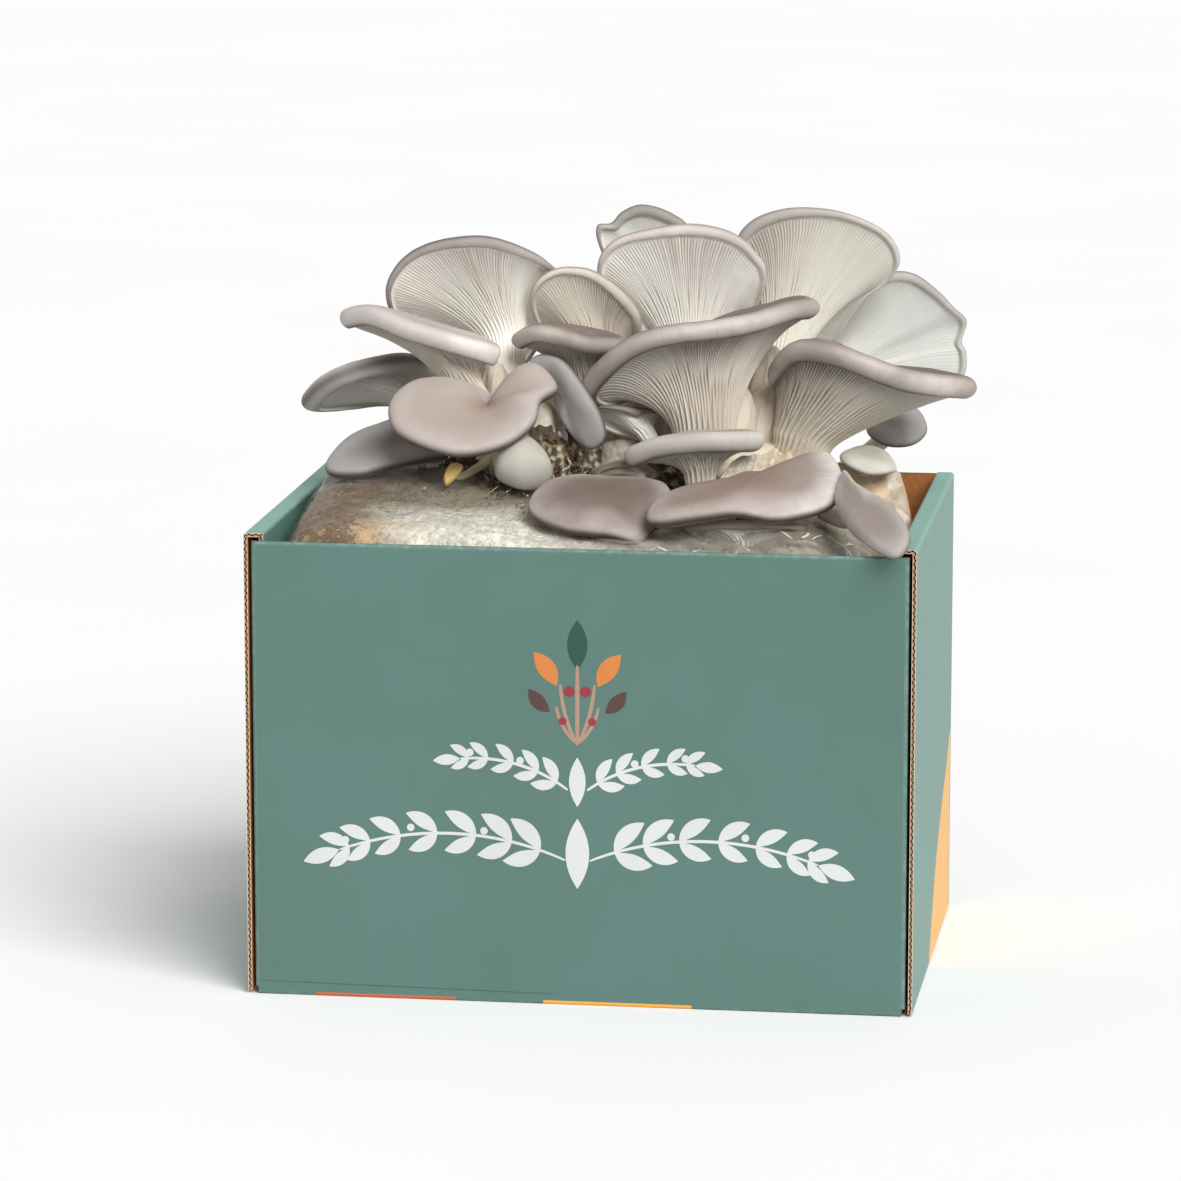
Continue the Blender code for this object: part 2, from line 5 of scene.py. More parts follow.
import bpy
import numpy as np
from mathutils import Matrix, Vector


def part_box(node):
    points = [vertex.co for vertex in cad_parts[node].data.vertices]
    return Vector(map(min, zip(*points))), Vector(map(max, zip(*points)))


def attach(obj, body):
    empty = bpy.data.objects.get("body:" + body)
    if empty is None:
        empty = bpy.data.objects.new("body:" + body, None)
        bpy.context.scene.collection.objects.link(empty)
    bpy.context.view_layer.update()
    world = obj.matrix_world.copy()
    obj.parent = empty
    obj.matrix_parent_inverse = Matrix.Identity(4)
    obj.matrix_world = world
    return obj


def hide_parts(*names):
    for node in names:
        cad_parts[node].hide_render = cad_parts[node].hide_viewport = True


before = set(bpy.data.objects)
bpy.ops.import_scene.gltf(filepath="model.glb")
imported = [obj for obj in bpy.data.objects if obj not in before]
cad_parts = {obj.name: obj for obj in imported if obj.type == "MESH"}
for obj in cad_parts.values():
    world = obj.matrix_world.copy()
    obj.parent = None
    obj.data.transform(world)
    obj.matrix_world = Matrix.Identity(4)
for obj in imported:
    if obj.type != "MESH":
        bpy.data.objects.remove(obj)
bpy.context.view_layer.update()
boxLow, boxHigh = (np.array(corner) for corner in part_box("carton"))
width, depth, height = boxHigh - boxLow
mm = 0.001


# small helpers for arrays

def unit(v):
    # v divided by its length
    return v / np.maximum(np.linalg.norm(v, axis=-1, keepdims=True), 1e-12)


def smooth(x, low, high):
    # 0 below low, 1 above high, 3t^2 - 2t^3 between
    t = np.clip((x - low) / (high - low), 0, 1)
    return t * t * (3 - 2 * t)


def sines(points, size, seed, count, spread):
    # sine waves in random directions, one column each, about size long
    rng = np.random.default_rng(seed)
    ways = unit(rng.normal(size=(count, 3))) * rng.uniform(*spread, (count, 1)) * 2 * np.pi / size
    return np.sin(points @ ways.T + rng.uniform(0, 2 * np.pi, count))


def ripple(points, size, seed):
    # sum of 12 sine waves, mostly between -1 and 1
    return sines(points, size, seed, 12, (0.7, 1.4)).sum(-1) / math.sqrt(24)


def lumpy(points, seed, *ripples):
    # ripples of several heights and sizes
    return sum(high * ripple(points, size, seed + k) for k, (high, size) in enumerate(ripples))


def crumple(points, size, seed, count=9):
    # sum of folded waves |sin|, which leaves flat facets between sharp creases
    return (np.abs(sines(points, 2 * size, seed, count, (0.6, 1.5))).sum(-1) / count - 2 / np.pi) * 3


def gridFaces(rows, columns, wrap=False):
    # quads between neighbouring rows and columns, the last column joined to the first if it wraps
    i, j = np.meshgrid(np.arange(rows - 1), np.arange(columns if wrap else columns - 1), indexing="ij")
    k = (j + 1) % columns
    quads = [i * columns + j, i * columns + k, (i + 1) * columns + k, (i + 1) * columns + j]
    return np.stack(quads, -1).reshape(-1, 4)


def facingOut(points, faces):
    # turns every face round if the volume the faces enclose comes out negative
    volume = 0
    for group in faces:
        for k in range(1, group.shape[1] - 1):
            a, b, c = (points[group[:, n]] for n in (0, k, k + 1))
            volume += np.einsum("ij,ij->i", a, np.cross(b, c)).sum()
    return faces if volume > 0 else [group[:, ::-1] for group in faces]


def addPiece(name, points, faces, material, nodes=(), masks=None, flat=False):
    # one mesh from arrays; faces is a list of quad and triangle arrays, masks are values per point
    mesh = bpy.data.meshes.new(name)
    corners = np.concatenate([group.ravel() for group in faces])
    sizes = np.concatenate([np.full(len(group), group.shape[1]) for group in faces])
    starts = np.cumsum(sizes) - sizes
    mesh.vertices.add(len(points))
    mesh.vertices.foreach_set("co", points.astype(np.float32).ravel())
    mesh.loops.add(len(corners))
    mesh.loops.foreach_set("vertex_index", corners.astype(np.int32))
    mesh.polygons.add(len(sizes))
    mesh.polygons.foreach_set("loop_start", starts.astype(np.int32))
    mesh.polygons.foreach_set("use_smooth", np.full(len(sizes), not flat))
    mesh.update(calc_edges=True)
    for key, values in (masks or {}).items():
        kind, field = ("FLOAT_VECTOR", "vector") if values.ndim > 1 else ("FLOAT", "value")
        mesh.attributes.new(key, kind, "POINT").data.foreach_set(field, values.astype(np.float32).ravel())
    mesh.materials.append(material)
    piece = bpy.data.objects.new(name, mesh)
    bpy.context.scene.collection.objects.link(piece)
    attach(piece, "root")
    if nodes:
        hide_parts(*nodes)


def slab(upper, lower):
    # closed body between two grids of one shape: both faces and the walls round their border
    rows, columns = upper.shape[:2]
    count = rows * columns
    index = np.arange(count).reshape(rows, columns)
    top = gridFaces(rows, columns)
    border = np.concatenate([index[0, :-1], index[:-1, -1], index[-1, :0:-1], index[:0:-1, 0]])
    following = np.roll(border, -1)
    walls = np.stack([border, following, following + count, border + count], -1)
    points = np.concatenate([upper.reshape(-1, 3), lower.reshape(-1, 3)])
    return points, facingOut(points, [np.concatenate([top[:, ::-1], top + count, walls])])[0]


def joined(bodies):
    # several bodies as one; a body starts with its points and its quads
    shift = np.cumsum([0] + [len(body[0]) for body in bodies[:-1]])
    return (np.concatenate([body[0] for body in bodies]),
            np.concatenate([body[1] + first for body, first in zip(bodies, shift)]))


# helpers for materials

def newMaterial(name):
    # a material and its node tree
    material = bpy.data.materials.new(name)
    material.use_nodes = True
    return material, material.node_tree


def tone(colour):
    # a colour as seen on a screen, 0 to 255, made linear
    share = np.array(colour) / 255
    return tuple(np.where(share < 0.04045, share / 12.92, ((share + 0.055) / 1.055) ** 2.4).tolist())


def tones(look):
    # the colours of a dictionary, made linear
    return {key: tone(value) for key, value in look.items()}


def put(target, value):
    # links a socket, or sets a plain value
    if isinstance(value, bpy.types.NodeSocket):
        target.id_data.links.new(value, target)
    elif target.type == "RGBA":
        target.default_value = (*value, 1)
    else:
        target.default_value = value


def addNode(tree, kind, output, inputs, **settings):
    # a shader node with its settings and inputs; returns one output
    node = tree.nodes.new("ShaderNode" + kind)
    for key, value in settings.items():
        setattr(node, key, value)
    for key, value in inputs.items():
        put(node.inputs[key], value)
    return node.outputs[output]


def calc(operation, a, b=0.0):
    # a Math node
    return addNode(a.id_data, "Math", 0, {0: a, 1: b}, operation=operation)


def times(first, *others):
    # the product of sockets and numbers
    for other in others:
        first = calc("MULTIPLY", first, other)
    return first


def clamped(value):
    # keeps a Math node's result between 0 and 1
    value.node.use_clamp = True
    return value


def span(value, low, high, toLow=0.0, toHigh=1.0):
    # value from low..high mapped smoothly to toLow..toHigh
    inputs = {"Value": value, "From Min": low, "From Max": high, "To Min": toLow, "To Max": toHigh}
    return addNode(value.id_data, "MapRange", "Result", inputs, interpolation_type="SMOOTHSTEP")


def mixed(amount, first, second):
    # the first colour where amount is 0, the second where it is 1
    return addNode(amount.id_data, "Mix", 2, {0: amount, 6: first, 7: second}, data_type="RGBA")


def layered(base, *coats):
    # colours laid over the base one after another, each by the product of its masks and strengths
    for colour, *amounts in coats:
        base = mixed(times(*amounts), base, colour)
    return base


def mask(tree, name, output="Fac"):
    # a value or vector stored on the piece's points
    return addNode(tree, "Attribute", output, {}, attribute_name=name)


def place(tree, *scale):
    # object coordinates, stretched
    where = addNode(tree, "TexCoord", "Object", {})
    return addNode(tree, "Mapping", "Vector", {"Scale": scale or (1, 1, 1), "Vector": where})


def noise(vector, scale, detail=3.0, rough=0.55):
    # fractal noise, mostly between 0.3 and 0.7
    inputs = {"Vector": vector, "Scale": scale, "Detail": detail, "Roughness": rough}
    return addNode(vector.id_data, "TexNoise", "Fac", inputs)


def bump(height, distance, strength=1.0, under=None):
    # a bump, laid over another one if there is one
    inputs = {"Distance": distance, "Strength": strength, "Height": height}
    if under:
        inputs["Normal"] = under
    return addNode(height.id_data, "Bump", "Normal", inputs)


def paint(material, **inputs):
    # sets the material's Principled inputs, named without their spaces
    shader = material.node_tree.nodes["Principled BSDF"]
    for socket in shader.inputs:
        if socket.name.replace(" ", "") in inputs:
            put(socket, inputs[socket.name.replace(" ", "")])
    return material


def newGroup(name, kind, build, **inputs):
    # a shader group with number inputs and one output, which build makes from them
    group = bpy.data.node_groups.new(name, "ShaderNodeTree")
    for label, default in inputs.items():
        socket = group.interface.new_socket(label, in_out="INPUT", socket_type="NodeSocketFloat")
        socket.default_value = default
    group.interface.new_socket("Result", in_out="OUTPUT", socket_type=kind)
    given = group.nodes.new("NodeGroupInput").outputs[:len(inputs)]
    put(group.nodes.new("NodeGroupOutput").inputs[0], build(place(group), *given))
    return group


def cloudValue(where, scale, fine):
    # soft patches over finer ones, 0 to 1
    small = calc("SUBTRACT", noise(where, times(scale, 6.0), 4.0), 0.5)
    return span(calc("ADD", noise(where, scale, 2.0), times(small, fine)), 0.32, 0.68)


def grainBump(where, scale, strength):
    # paper grain
    return bump(noise(where, scale, 5.0, 0.6), 0.0004, strength)


def useGroup(tree, group, scale, amount):
    # a shared group with this material's own values
    return addNode(tree, "Group", 0, {0: scale, 1: amount}, node_tree=group)


clouds = newGroup("clouds", "NodeSocketFloat", cloudValue, Scale=40.0, Fine=0.3)
grain = newGroup("grain", "NodeSocketVector", grainBump, Scale=900.0, Strength=0.2)
print("frame loaded, carton", [round(v / mm) for v in (width, depth, height)])


# mushrooms

# The clusters are measured in mm along three axes: across, up the picture and towards the viewer,
# from the middle of the carton's rim. The axes turn and lean with the camera, in degrees.
leaningFrame = dict(turn=8.124, lean=10.784)
# Rows of points up the stem, in the tuck where the gills end and round the edge, and mm per row
# under the cap and on top; blade is a gill's half width for its gap; flare, lift and thick are for
# a cap that has none of its own; inside and tucked are the inward mask before the edge begins.
growth = dict(stemRows=10, lipRows=4, edgeRows=10, gillStep=1.6, topStep=2.6, blade=0.33, sway=0.3,
              wave=0.5, ruffle=0.08, flare=(0.35, 0.35), lift=12, thick=4, tuckIn=1.2, tuckUp=1.6,
              crownBend=42, crownEdge=0.47, inside=-1.6, tucked=-1.2)
fans = ("pale", "fair", "warm", "smooth", "dim", "even")
buds = ("yellow_bud", "curled_bud")

# gap is the mm between two gills, deep their height, and start where the long ones begin, 0 being
# the top of the stem and -1 its foot. Along the edge -1 is where the gills end, 0 outermost and 1 on
# top: line is the dark line's place, width and strength there, a line partly the margin's own darker
# colour and partly painted shade along the cap's outline, and fade the stretch over which the top
# turns to its shade colour, painted shade where the top curves away from the edge. The pair after
# fade is how much of the valley colour shows, least and most: the valley colour is painted shade
# between the gills, tinted warm brown.
fleshLooks = {
    "pale": dict(gap=1.7, deep=0.9, start=-0.3, line=(0.1, 0.7, 0.85), fade=(0.0, 0.9), ink=(0.35, 0.8),
                 gill=(255, 252, 242), outer=(244, 242, 234), valley=(118, 88, 64), skin=(186, 179, 174),
                 shade=(140, 129, 123), rim=(92, 82, 77), stem=(240, 230, 212), centre=(190, 176, 164)),
    "warm": dict(gap=1.7, deep=0.9, start=-0.3, line=(0.1, 0.7, 0.85), fade=(0.0, 0.9), ink=(0.45, 0.85),
                 gill=(250, 242, 226), outer=(226, 218, 204), valley=(104, 74, 52), skin=(208, 200, 190),
                 shade=(168, 157, 147), rim=(120, 108, 100), stem=(234, 220, 198), centre=(190, 176, 164)),
    "smooth": dict(gap=1.7, deep=0.4, start=0.0, line=(0.05, 0.7, 0.85), fade=(0.0, 0.9), ink=(0.3, 0.6),
                   gill=(244, 243, 235), outer=(232, 233, 228), valley=(186, 180, 170), skin=(188, 184, 178),
                   shade=(142, 134, 128), rim=(98, 89, 85), stem=(238, 230, 216), centre=(205, 196, 184)),
    "grey": dict(gap=1.9, deep=2.0, start=-0.75, line=(-1.0, 0.5, 0.85), fade=(0.2, 1.0), ink=(0.5, 0.95),
                 gill=(206, 197, 182), outer=(178, 173, 165), valley=(54, 38, 28), skin=(190, 181, 173),
                 shade=(108, 95, 88), rim=(80, 68, 62), stem=(212, 197, 176), centre=(140, 124, 114)),
    "cool": dict(gap=1.9, deep=1.5, start=-0.6, line=(-0.95, 0.5, 0.85), fade=(0.5, 1.5), ink=(0.9, 1.0),
                 gill=(208, 199, 186), outer=(190, 188, 182), valley=(38, 28, 22), skin=(214, 209, 204),
                 shade=(146, 136, 130), rim=(86, 76, 72), stem=(228, 214, 194), centre=(156, 144, 134)),
    "brown": dict(gap=2.2, deep=1.2, start=-0.3, line=(-0.3, 0.6, 0.9), fade=(0.5, 1.9), ink=(0.4, 0.9),
                  gill=(224, 215, 202), outer=(200, 198, 192), valley=(94, 72, 56), skin=(204, 196, 191),
                  shade=(130, 114, 104), rim=(62, 54, 50), stem=(228, 214, 194), centre=(128, 106, 92)),
    # dusk is brown painted darker all over: painted shade for front_left and the cluster bases, which lie in
    # the shade of other caps
    "dusk": dict(gap=2.2, deep=1.2, start=-0.3, line=(-0.3, 0.6, 0.9), fade=(0.4, 2.0), ink=(0.4, 0.9),
                 gill=(210, 201, 188), outer=(190, 188, 182), valley=(90, 68, 52), skin=(192, 182, 175),
                 shade=(102, 88, 79), rim=(56, 48, 44), stem=(210, 196, 176), centre=(104, 89, 78)),
    "olive": dict(gap=1.6, deep=0.3, start=0.2, line=(-0.4, 0.9, 0.8), fade=(0.6, 2.0), ink=(0.1, 0.3),
                  gill=(208, 198, 180), outer=(198, 188, 170), valley=(112, 98, 78), skin=(208, 198, 182),
                  shade=(166, 154, 136), rim=(70, 60, 50), stem=(170, 156, 132), centre=(130, 116, 96)),
    "slate": dict(gap=2.2, deep=1.2, start=-0.3, line=(-0.1, 0.6, 0.8), fade=(0.6, 2.0), ink=(0.4, 0.8),
                  gill=(226, 223, 216), outer=(206, 206, 200), valley=(100, 90, 80), skin=(198, 194, 190),
                  shade=(158, 151, 146), rim=(72, 66, 64), stem=(220, 210, 194), centre=(140, 130, 123)),
    "white": dict(gap=1.6, deep=0.8, start=-0.3, line=(-0.45, 0.7, 0.75), fade=(0.6, 2.2), ink=(0.3, 0.7),
                  gill=(226, 222, 212), outer=(206, 205, 199), valley=(150, 132, 112), skin=(202, 199, 190),
                  shade=(156, 150, 138), rim=(100, 92, 84), stem=(232, 222, 204), centre=(190, 184, 173)),
    "yellow": dict(gap=1.6, deep=0.5, start=0.0, line=(-0.4, 0.5, 0.5), fade=(1.0, 2.5), ink=(0.3, 0.9),
                   gill=(240, 228, 196), outer=(236, 226, 200), valley=(176, 140, 70), skin=(226, 208, 164),
                   shade=(196, 156, 72), rim=(160, 112, 24), stem=(226, 208, 164), centre=(210, 182, 112)),
}
# looks that differ from another in a few colours; the gills of dim and even are painted darker than those of
# pale and smooth, painted shade on the two right-hand fans
for made, base, changes in (
        ("light", "grey", dict(skin=(232, 225, 221), shade=(168, 158, 152), gill=(226, 216, 201))),
        ("dim", "pale", dict(gill=(228, 225, 212), outer=(212, 209, 199), valley=(112, 86, 64),
                             skin=(198, 193, 187), shade=(160, 151, 144), rim=(112, 102, 96))),
        ("fair", "pale", dict(skin=(212, 204, 197), shade=(178, 166, 158), rim=(128, 115, 107))),
        ("even", "smooth", dict(gill=(220, 221, 214), outer=(208, 210, 205))),
        ("clay", "brown", dict(skin=(186, 180, 178), shade=(160, 145, 134), fade=(0.6, 2.2),
                               line=(-0.3, 0.9, 0.9))),
        ("stone", "slate", dict(skin=(178, 174, 171), shade=(136, 130, 126), centre=(128, 120, 114))),
        ("mauve", "brown", dict(skin=(190, 184, 180), shade=(146, 134, 126), centre=(150, 138, 130))),
        ("ash", "dusk", dict(skin=(160, 154, 142), shade=(146, 140, 128), rim=(132, 126, 114),
                             gill=(214, 212, 203), valley=(74, 66, 56), centre=(140, 134, 122)))):
    fleshLooks[made] = dict(fleshLooks[base], **changes)

# mm in the row frame. rim goes round the cap's edge. The stem runs from foot to hub with the two
# radii in stem, and meets the cap along rise. top is roughly the way the cap's top faces, and edge
# how far its roll stands above and below the rim and reaches inwards. crown is the height of a domed
# cap and thick the flesh of any other; flare is the part of the underside that goes on along the
# stem and the part that leads into the edge, lift the most of the first, and swell raises the top.
# glow points to the side where the gills are strongest.
mushrooms = [
    dict(name="left_fan", look="pale", rim=[
        (-22, 95, -28), (-26, 103, -14), (-38, 109, 0), (-55, 113, 6), (-74, 111, 6),
        (-89, 103, 2), (-96, 90, -6), (-90, 76, -20), (-69, 65, -30), (-48, 51, -44),
        (-30, 69, -40)],
        foot=(-37, 31, -27), hub=(-45, 64, -24), stem=(7, 8.5), rise=(0, 0.85, -0.5), top=(0, 0.4, -0.9),
        edge=(3, 3, 4)),
    dict(name="left_funnel", look="light", rim=[
        (-47, 62, 5), (-55, 64, 15), (-70, 68, 22), (-87, 73, 24), (-104, 80, 16), (-115, 80, 4),
        (-105, 82, -8), (-81, 76, -12), (-59, 69, -6)],
        foot=(-38, 31, -9), hub=(-60, 47, -1), stem=(5, 6), rise=(-0.5, 0.85, 0.1), top=(0, 1, 0),
        edge=(4, 5, 5), flare=(0.35, 0.55)),
    dict(name="left_low", swell=3, look="slate", rim=[
        (-67, 54, -42), (-75, 60, -28), (-86, 62, -14), (-98, 60, -3), (-113, 56, 4),
        (-125, 50, 2), (-132, 42, -8), (-125, 41, -18), (-112, 42, -30), (-95, 44, -44),
        (-76, 44, -54)],
        foot=(-47, 26, -21), hub=(-80, 39, -32), stem=(5, 6), rise=(-0.5, 0.85, 0), top=(0, 1, 0),
        edge=(5, 4, 6)),
    dict(name="left_kidney", look="clay", rim=[
        (-22, 48, 20), (-29, 42, 26), (-32, 32, 34), (-44, 23, 40), (-62, 19, 44), (-78, 22, 42),
        (-91, 30, 36), (-93, 42, 26), (-83, 51, 16), (-67, 52, 10), (-56, 48, 7), (-48, 44, 5),
        (-43, 49, 4), (-37, 57, 6), (-29, 57, 12)],
        foot=(-40, 27, 0), hub=(-52, 37, 14), stem=(4, 3.5), rise=(-0.2, 0.6, 0.7), top=(0, 0.8, 0.6),
        edge=(3, 4, 5), lift=2, flare=(0.1, 0.35)),
    dict(name="left_corner", look="stone", rim=[
        (-68, 27, -8), (-69, 20, 2), (-79, 18, 10), (-93, 15, 17), (-105, 11, 20), (-117, 11, 18),
        (-121, 15, 12), (-114, 25, 2), (-103, 31.5, -4), (-86, 36, -12)],
        foot=(-47, 22, -4), hub=(-78, 18, -4), stem=(3.5, 3.5), rise=(-0.2, 0.9, 0.35), top=(0, 0.8, 0.6),
        edge=(3, 4, 5), crown=5, lift=2),
    dict(name="white_egg", look="white", rim=[
        (-27, 18, 26), (-24, 12, 32), (-27, 7, 34), (-34, 5, 35), (-41, 6, 35), (-48, 10, 32),
        (-48, 17, 26), (-44, 23, 20), (-35, 24, 19)],
        foot=(-33, 20, 4), hub=(-36, 14, 22), stem=(4, 3), rise=(0, 0.3, 0.9), top=(0.1, -0.1, 1),
        edge=(9, 3, 9), crown=12, lift=1),
    dict(name="yellow_bud", look="yellow", rim=[
        (-62, 14, 28), (-65, 9, 31), (-69, 6, 33), (-70, 10, 31), (-67, 15, 27)],
        foot=(-45, 23, 0), hub=(-66, 11, 28), stem=(2, 1.2), rise=(-0.1, 0.2, 0.9), top=(0, 0.3, 0.9),
        edge=(2, 1, 2), crown=2.5, lift=0.5),
    dict(name="middle_fan", glow=(0.7, 0.7, 1), look="warm", rim=[
        (14, 78, -24), (10, 87, -19), (1, 95, -14), (-10, 100, -10), (-23, 100, -8),
        (-32, 94, -10), (-34, 84, -18), (-26, 68, -32), (-5, 47, -46), (11, 61, -38)],
        foot=(4, 32, -34), hub=(-3, 54, -28), stem=(5, 6.5), rise=(-0.1, 0.8, -0.5), top=(0, 0.4, -0.9),
        edge=(3, 3, 4)),
    dict(name="middle_funnel", look="grey", rim=[
        (8, 67, -8), (2, 66, 4), (-8, 66, 12), (-21, 69, 14), (-34, 72, 8), (-42, 70, -4),
        (-34, 74, -13), (-19, 74, -18), (-2, 71, -19)],
        foot=(6, 26, -24), hub=(-9, 47, -9), stem=(5, 5), rise=(-0.5, 0.85, 0.1), top=(0, 1, 0),
        edge=(4, 4, 5)),
    dict(name="finger", look="stone", rim=[
        (-29, 63, 3), (-20, 60, 9), (-11, 49, 13), (-4, 37, 15), (-2, 27, 15), (-7, 22, 13),
        (-13, 25, 10), (-19, 33, 8), (-23, 43, 4), (-28, 54, 2), (-34, 60, 0)],
        foot=(-26, 28, -12), hub=(-15, 42, 3), stem=(3, 2.2), rise=(0, 0.2, 0.9), top=(0, 0, 1),
        edge=(3, 3, 4), crown=4, lift=0.5),
    dict(name="side_gilled", look="pale", rim=[
        (27, 36, -12), (20, 39, -4), (11, 40, 2), (1, 41, 5), (-9, 40, 2), (-9, 35, -3),
        (2, 29, -8), (16, 26, -14)],
        foot=(25, 17, -4), hub=(16, 29, -4), stem=(5, 3.5), rise=(-0.4, 0.8, 0.1), top=(0, 0.8, -0.6),
        edge=(2, 2, 3), lift=3, thick=2.5),
    dict(name="back_lobed", look="smooth", rim=[
        (36, 118, -60), (28, 127, -57), (15, 131, -56), (6, 128, -57), (1, 123, -58),
        (-5, 122, -58), (-5, 115, -60), (1, 102, -65), (18, 72, -78), (38, 90, -73)],
        foot=(37, 11, -78), hub=(22, 98, -66), stem=(5, 5), rise=(0, 1, -0.25), top=(0, 0.3, -0.9),
        edge=(2, 3, 4)),
    dict(name="centre_fan", glow=(0.15, 1, 1), look="fair", rim=[
        (68, 96, -30), (63, 109, -26), (52, 117, -22), (35, 120, -20), (18, 118, -20),
        (2, 113, -22), (-5, 103, -26), (-2, 88, -34), (14, 68, -44), (36, 45, -58), (55, 66, -48)],
        foot=(36, 16, -36), hub=(35, 57, -42), stem=(8, 9), rise=(0, 0.85, -0.5), top=(0, 0.4, -0.9),
        edge=(3, 3, 4)),
    dict(name="back_right_fan", glow=(-0.6, 1, 0.5), look="dim", rim=[
        (127, 107, -48), (122, 117, -46), (110, 124, -44), (94, 128, -42), (76, 128, -42),
        (61, 122, -44), (55, 110, -48), (57, 78, -60), (73, 44, -78), (96, 67, -68),
        (111, 88, -58), (123, 98, -52)],
        foot=(66, 16, -42), hub=(74, 59, -54), stem=(7, 9), rise=(0.1, 0.85, -0.5), top=(0, 0.4, -0.9),
        edge=(3, 3, 4)),
    dict(name="far_right_fan", look="even", rim=[
        (158, 81, -78), (152, 87, -74), (145, 94, -72), (135, 101, -70), (124, 102, -68),
        (110, 96, -69), (95, 86, -73), (79, 62, -86), (85, 41, -98), (107, 40, -98),
        (147, 50, -88), (157, 57, -82), (158, 67, -80), (156, 72, -80)],
        foot=(80, 14, -44), hub=(93, 52, -80), stem=(7, 8), rise=(0.4, 0.75, -0.5), top=(0, 0.3, -0.9),
        edge=(2, 2.5, 4)),
    dict(name="small_fan", look="pale", rim=[
        (103, 66, -30), (96, 70, -29), (88, 71, -30), (82, 68, -32), (82, 58, -40), (90, 48, -46),
        (100, 56, -39)],
        foot=(82, 18, -30), hub=(89, 58, -34), stem=(3, 3), rise=(0, 0.8, -0.5), top=(0, 0.4, -0.9),
        edge=(2, 2, 3)),
    dict(name="centre_funnel", look="grey", rim=[
        (90, 84, 0), (81, 82, 14), (64, 76, 26), (44, 73, 32), (26, 70, 32), (6, 64, 24),
        (-6, 55, 16), (-13, 45, 8), (-5, 42, 0), (10, 49, -14), (31, 65, -28), (56, 77, -26),
        (82, 85, -12)],
        foot=(41, 9, 8), hub=(40, 27, 8), stem=(8, 12), rise=(0, 1, 0), top=(0, 1, 0),
        edge=(5, 4, 6)),
    dict(name="right_funnel", glow=(-0.8, 0.5, 1), look="grey", rim=[
        (157, 48, 2), (144, 49, 18), (127, 52, 26), (110, 57, 28), (93, 62, 26), (76, 64, 20),
        (68, 57, 8), (71, 53, -6), (91, 56, -18), (117, 54, -20), (142, 52, -14)],
        foot=(72, 11, -4), hub=(83, 26, -4), stem=(8, 12), rise=(0.3, 0.9, 0), top=(0, 1, 0),
        edge=(5, 5, 6), flare=(0.12, 0.1)),
    dict(name="flat", look="cool", rim=[
        (65, 26, 40), (50, 25, 50), (34, 24, 53), (17, 22, 49), (6, 18, 40), (15, 21, 28),
        (34, 26, 24), (55, 27, 28)],
        foot=(38, 0, 30), hub=(38, 9, 34), stem=(4, 6), rise=(0, 1, 0.1), top=(0, 1, 0),
        edge=(4, 5, 5)),
    dict(name="front_left", look="dusk", rim=[
        (26, 1, 42), (23, -7, 58), (17, -14, 70), (12, -18, 76), (0, -15, 78), (-17, -13, 77),
        (-29, -8, 72), (-34, -2, 64), (-28, 6, 54), (-15, 10, 46), (2, 9, 40), (21, 7, 40)],
        foot=(26, -12, 36), hub=(7, -2, 46), stem=(4.5, 4.5), rise=(-0.3, 0.7, 0.6), top=(0, 0.8, 0.6),
        edge=(3, 4, 5), crown=8, lift=2),
    dict(name="curled_bud", look="olive", rim=[
        (22, 11, 26), (17, 16, 28), (8, 18, 30), (-4, 15, 29), (-8, 11, 27), (0, 7, 25), (14, 6, 23)],
        foot=(19, 0, 26), hub=(13, 10, 32), stem=(3, 2.2), rise=(-0.2, 0.8, -0.4), top=(0, 0.4, -0.9),
        edge=(2, 2, 3), lift=1, thick=3),
    dict(name="front_long", look="brown", rim=[
        (97, 9, 60), (95, 0, 70), (85, -5, 78), (68, -8, 82), (52, -6, 85), (37, -8, 86),
        (21, -10, 84), (15, -8, 78), (21, 0, 68), (42, 5, 54), (67, 9, 44), (82, 16, 40),
        (92, 19, 46)],
        foot=(57, -14, 38), hub=(60, -2, 50), stem=(5, 5), rise=(0, 0.8, 0.5), top=(0, 0.8, 0.6),
        edge=(3, 4, 5), crown=8, lift=2),
    dict(name="corner_tongue", look="mauve", rim=[
        (98, 11, 62), (104, 4, 76), (113, -1, 92), (119, -8, 107), (122, -16, 118),
        (120, -22, 122), (115, -25, 122), (107, -21, 113), (98, -13, 96), (94, -2, 74)],
        foot=(89, -4, 52), hub=(104, -5, 74), stem=(4, 3.5), rise=(0.2, 0.5, 0.7), top=(0.2, 0.3, 0.9),
        edge=(4, 2.5, 5), crown=6, lift=1),
    dict(name="grey_back", look="stone", rim=[
        (138, 31, -36), (135, 40, -40), (127, 43, -42), (116, 40, -43), (112, 31, -40),
        (120, 25, -34), (131, 25, -32)],
        foot=(92, 8, -48), hub=(122, 31, -44), stem=(4, 3.5), rise=(0.3, 0.4, 0.8), top=(0, 0.3, 0.9),
        edge=(3, 3, 4), crown=5, lift=1),
    dict(name="white_button", look="white", rim=[
        (123, 15, -4), (120, 13, 2), (110, 12, 6), (101, 16, 4), (99, 20, -4), (109, 23, -12),
        (118, 21, -12)],
        foot=(95, 11, -10), hub=(110, 15, -9), stem=(4, 3.5), rise=(0.3, 0.8, 0.3), top=(0, 0.9, 0.4),
        edge=(2.5, 2.5, 5), crown=3, lift=1),
    dict(name="low_gilled", look="ash", rim=[
        (81, -12, 70), (70, -10, 74), (54, -9, 75), (37, -10, 74), (31, -13, 70), (42, -19, 64),
        (58, -22, 60), (75, -19, 64)],
        foot=(58, -30, 68), hub=(57, -20, 71), stem=(4, 4), rise=(0, 0.85, -0.1), top=(0, 0.3, -0.9),
        edge=(2, 2, 3), lift=2),
]


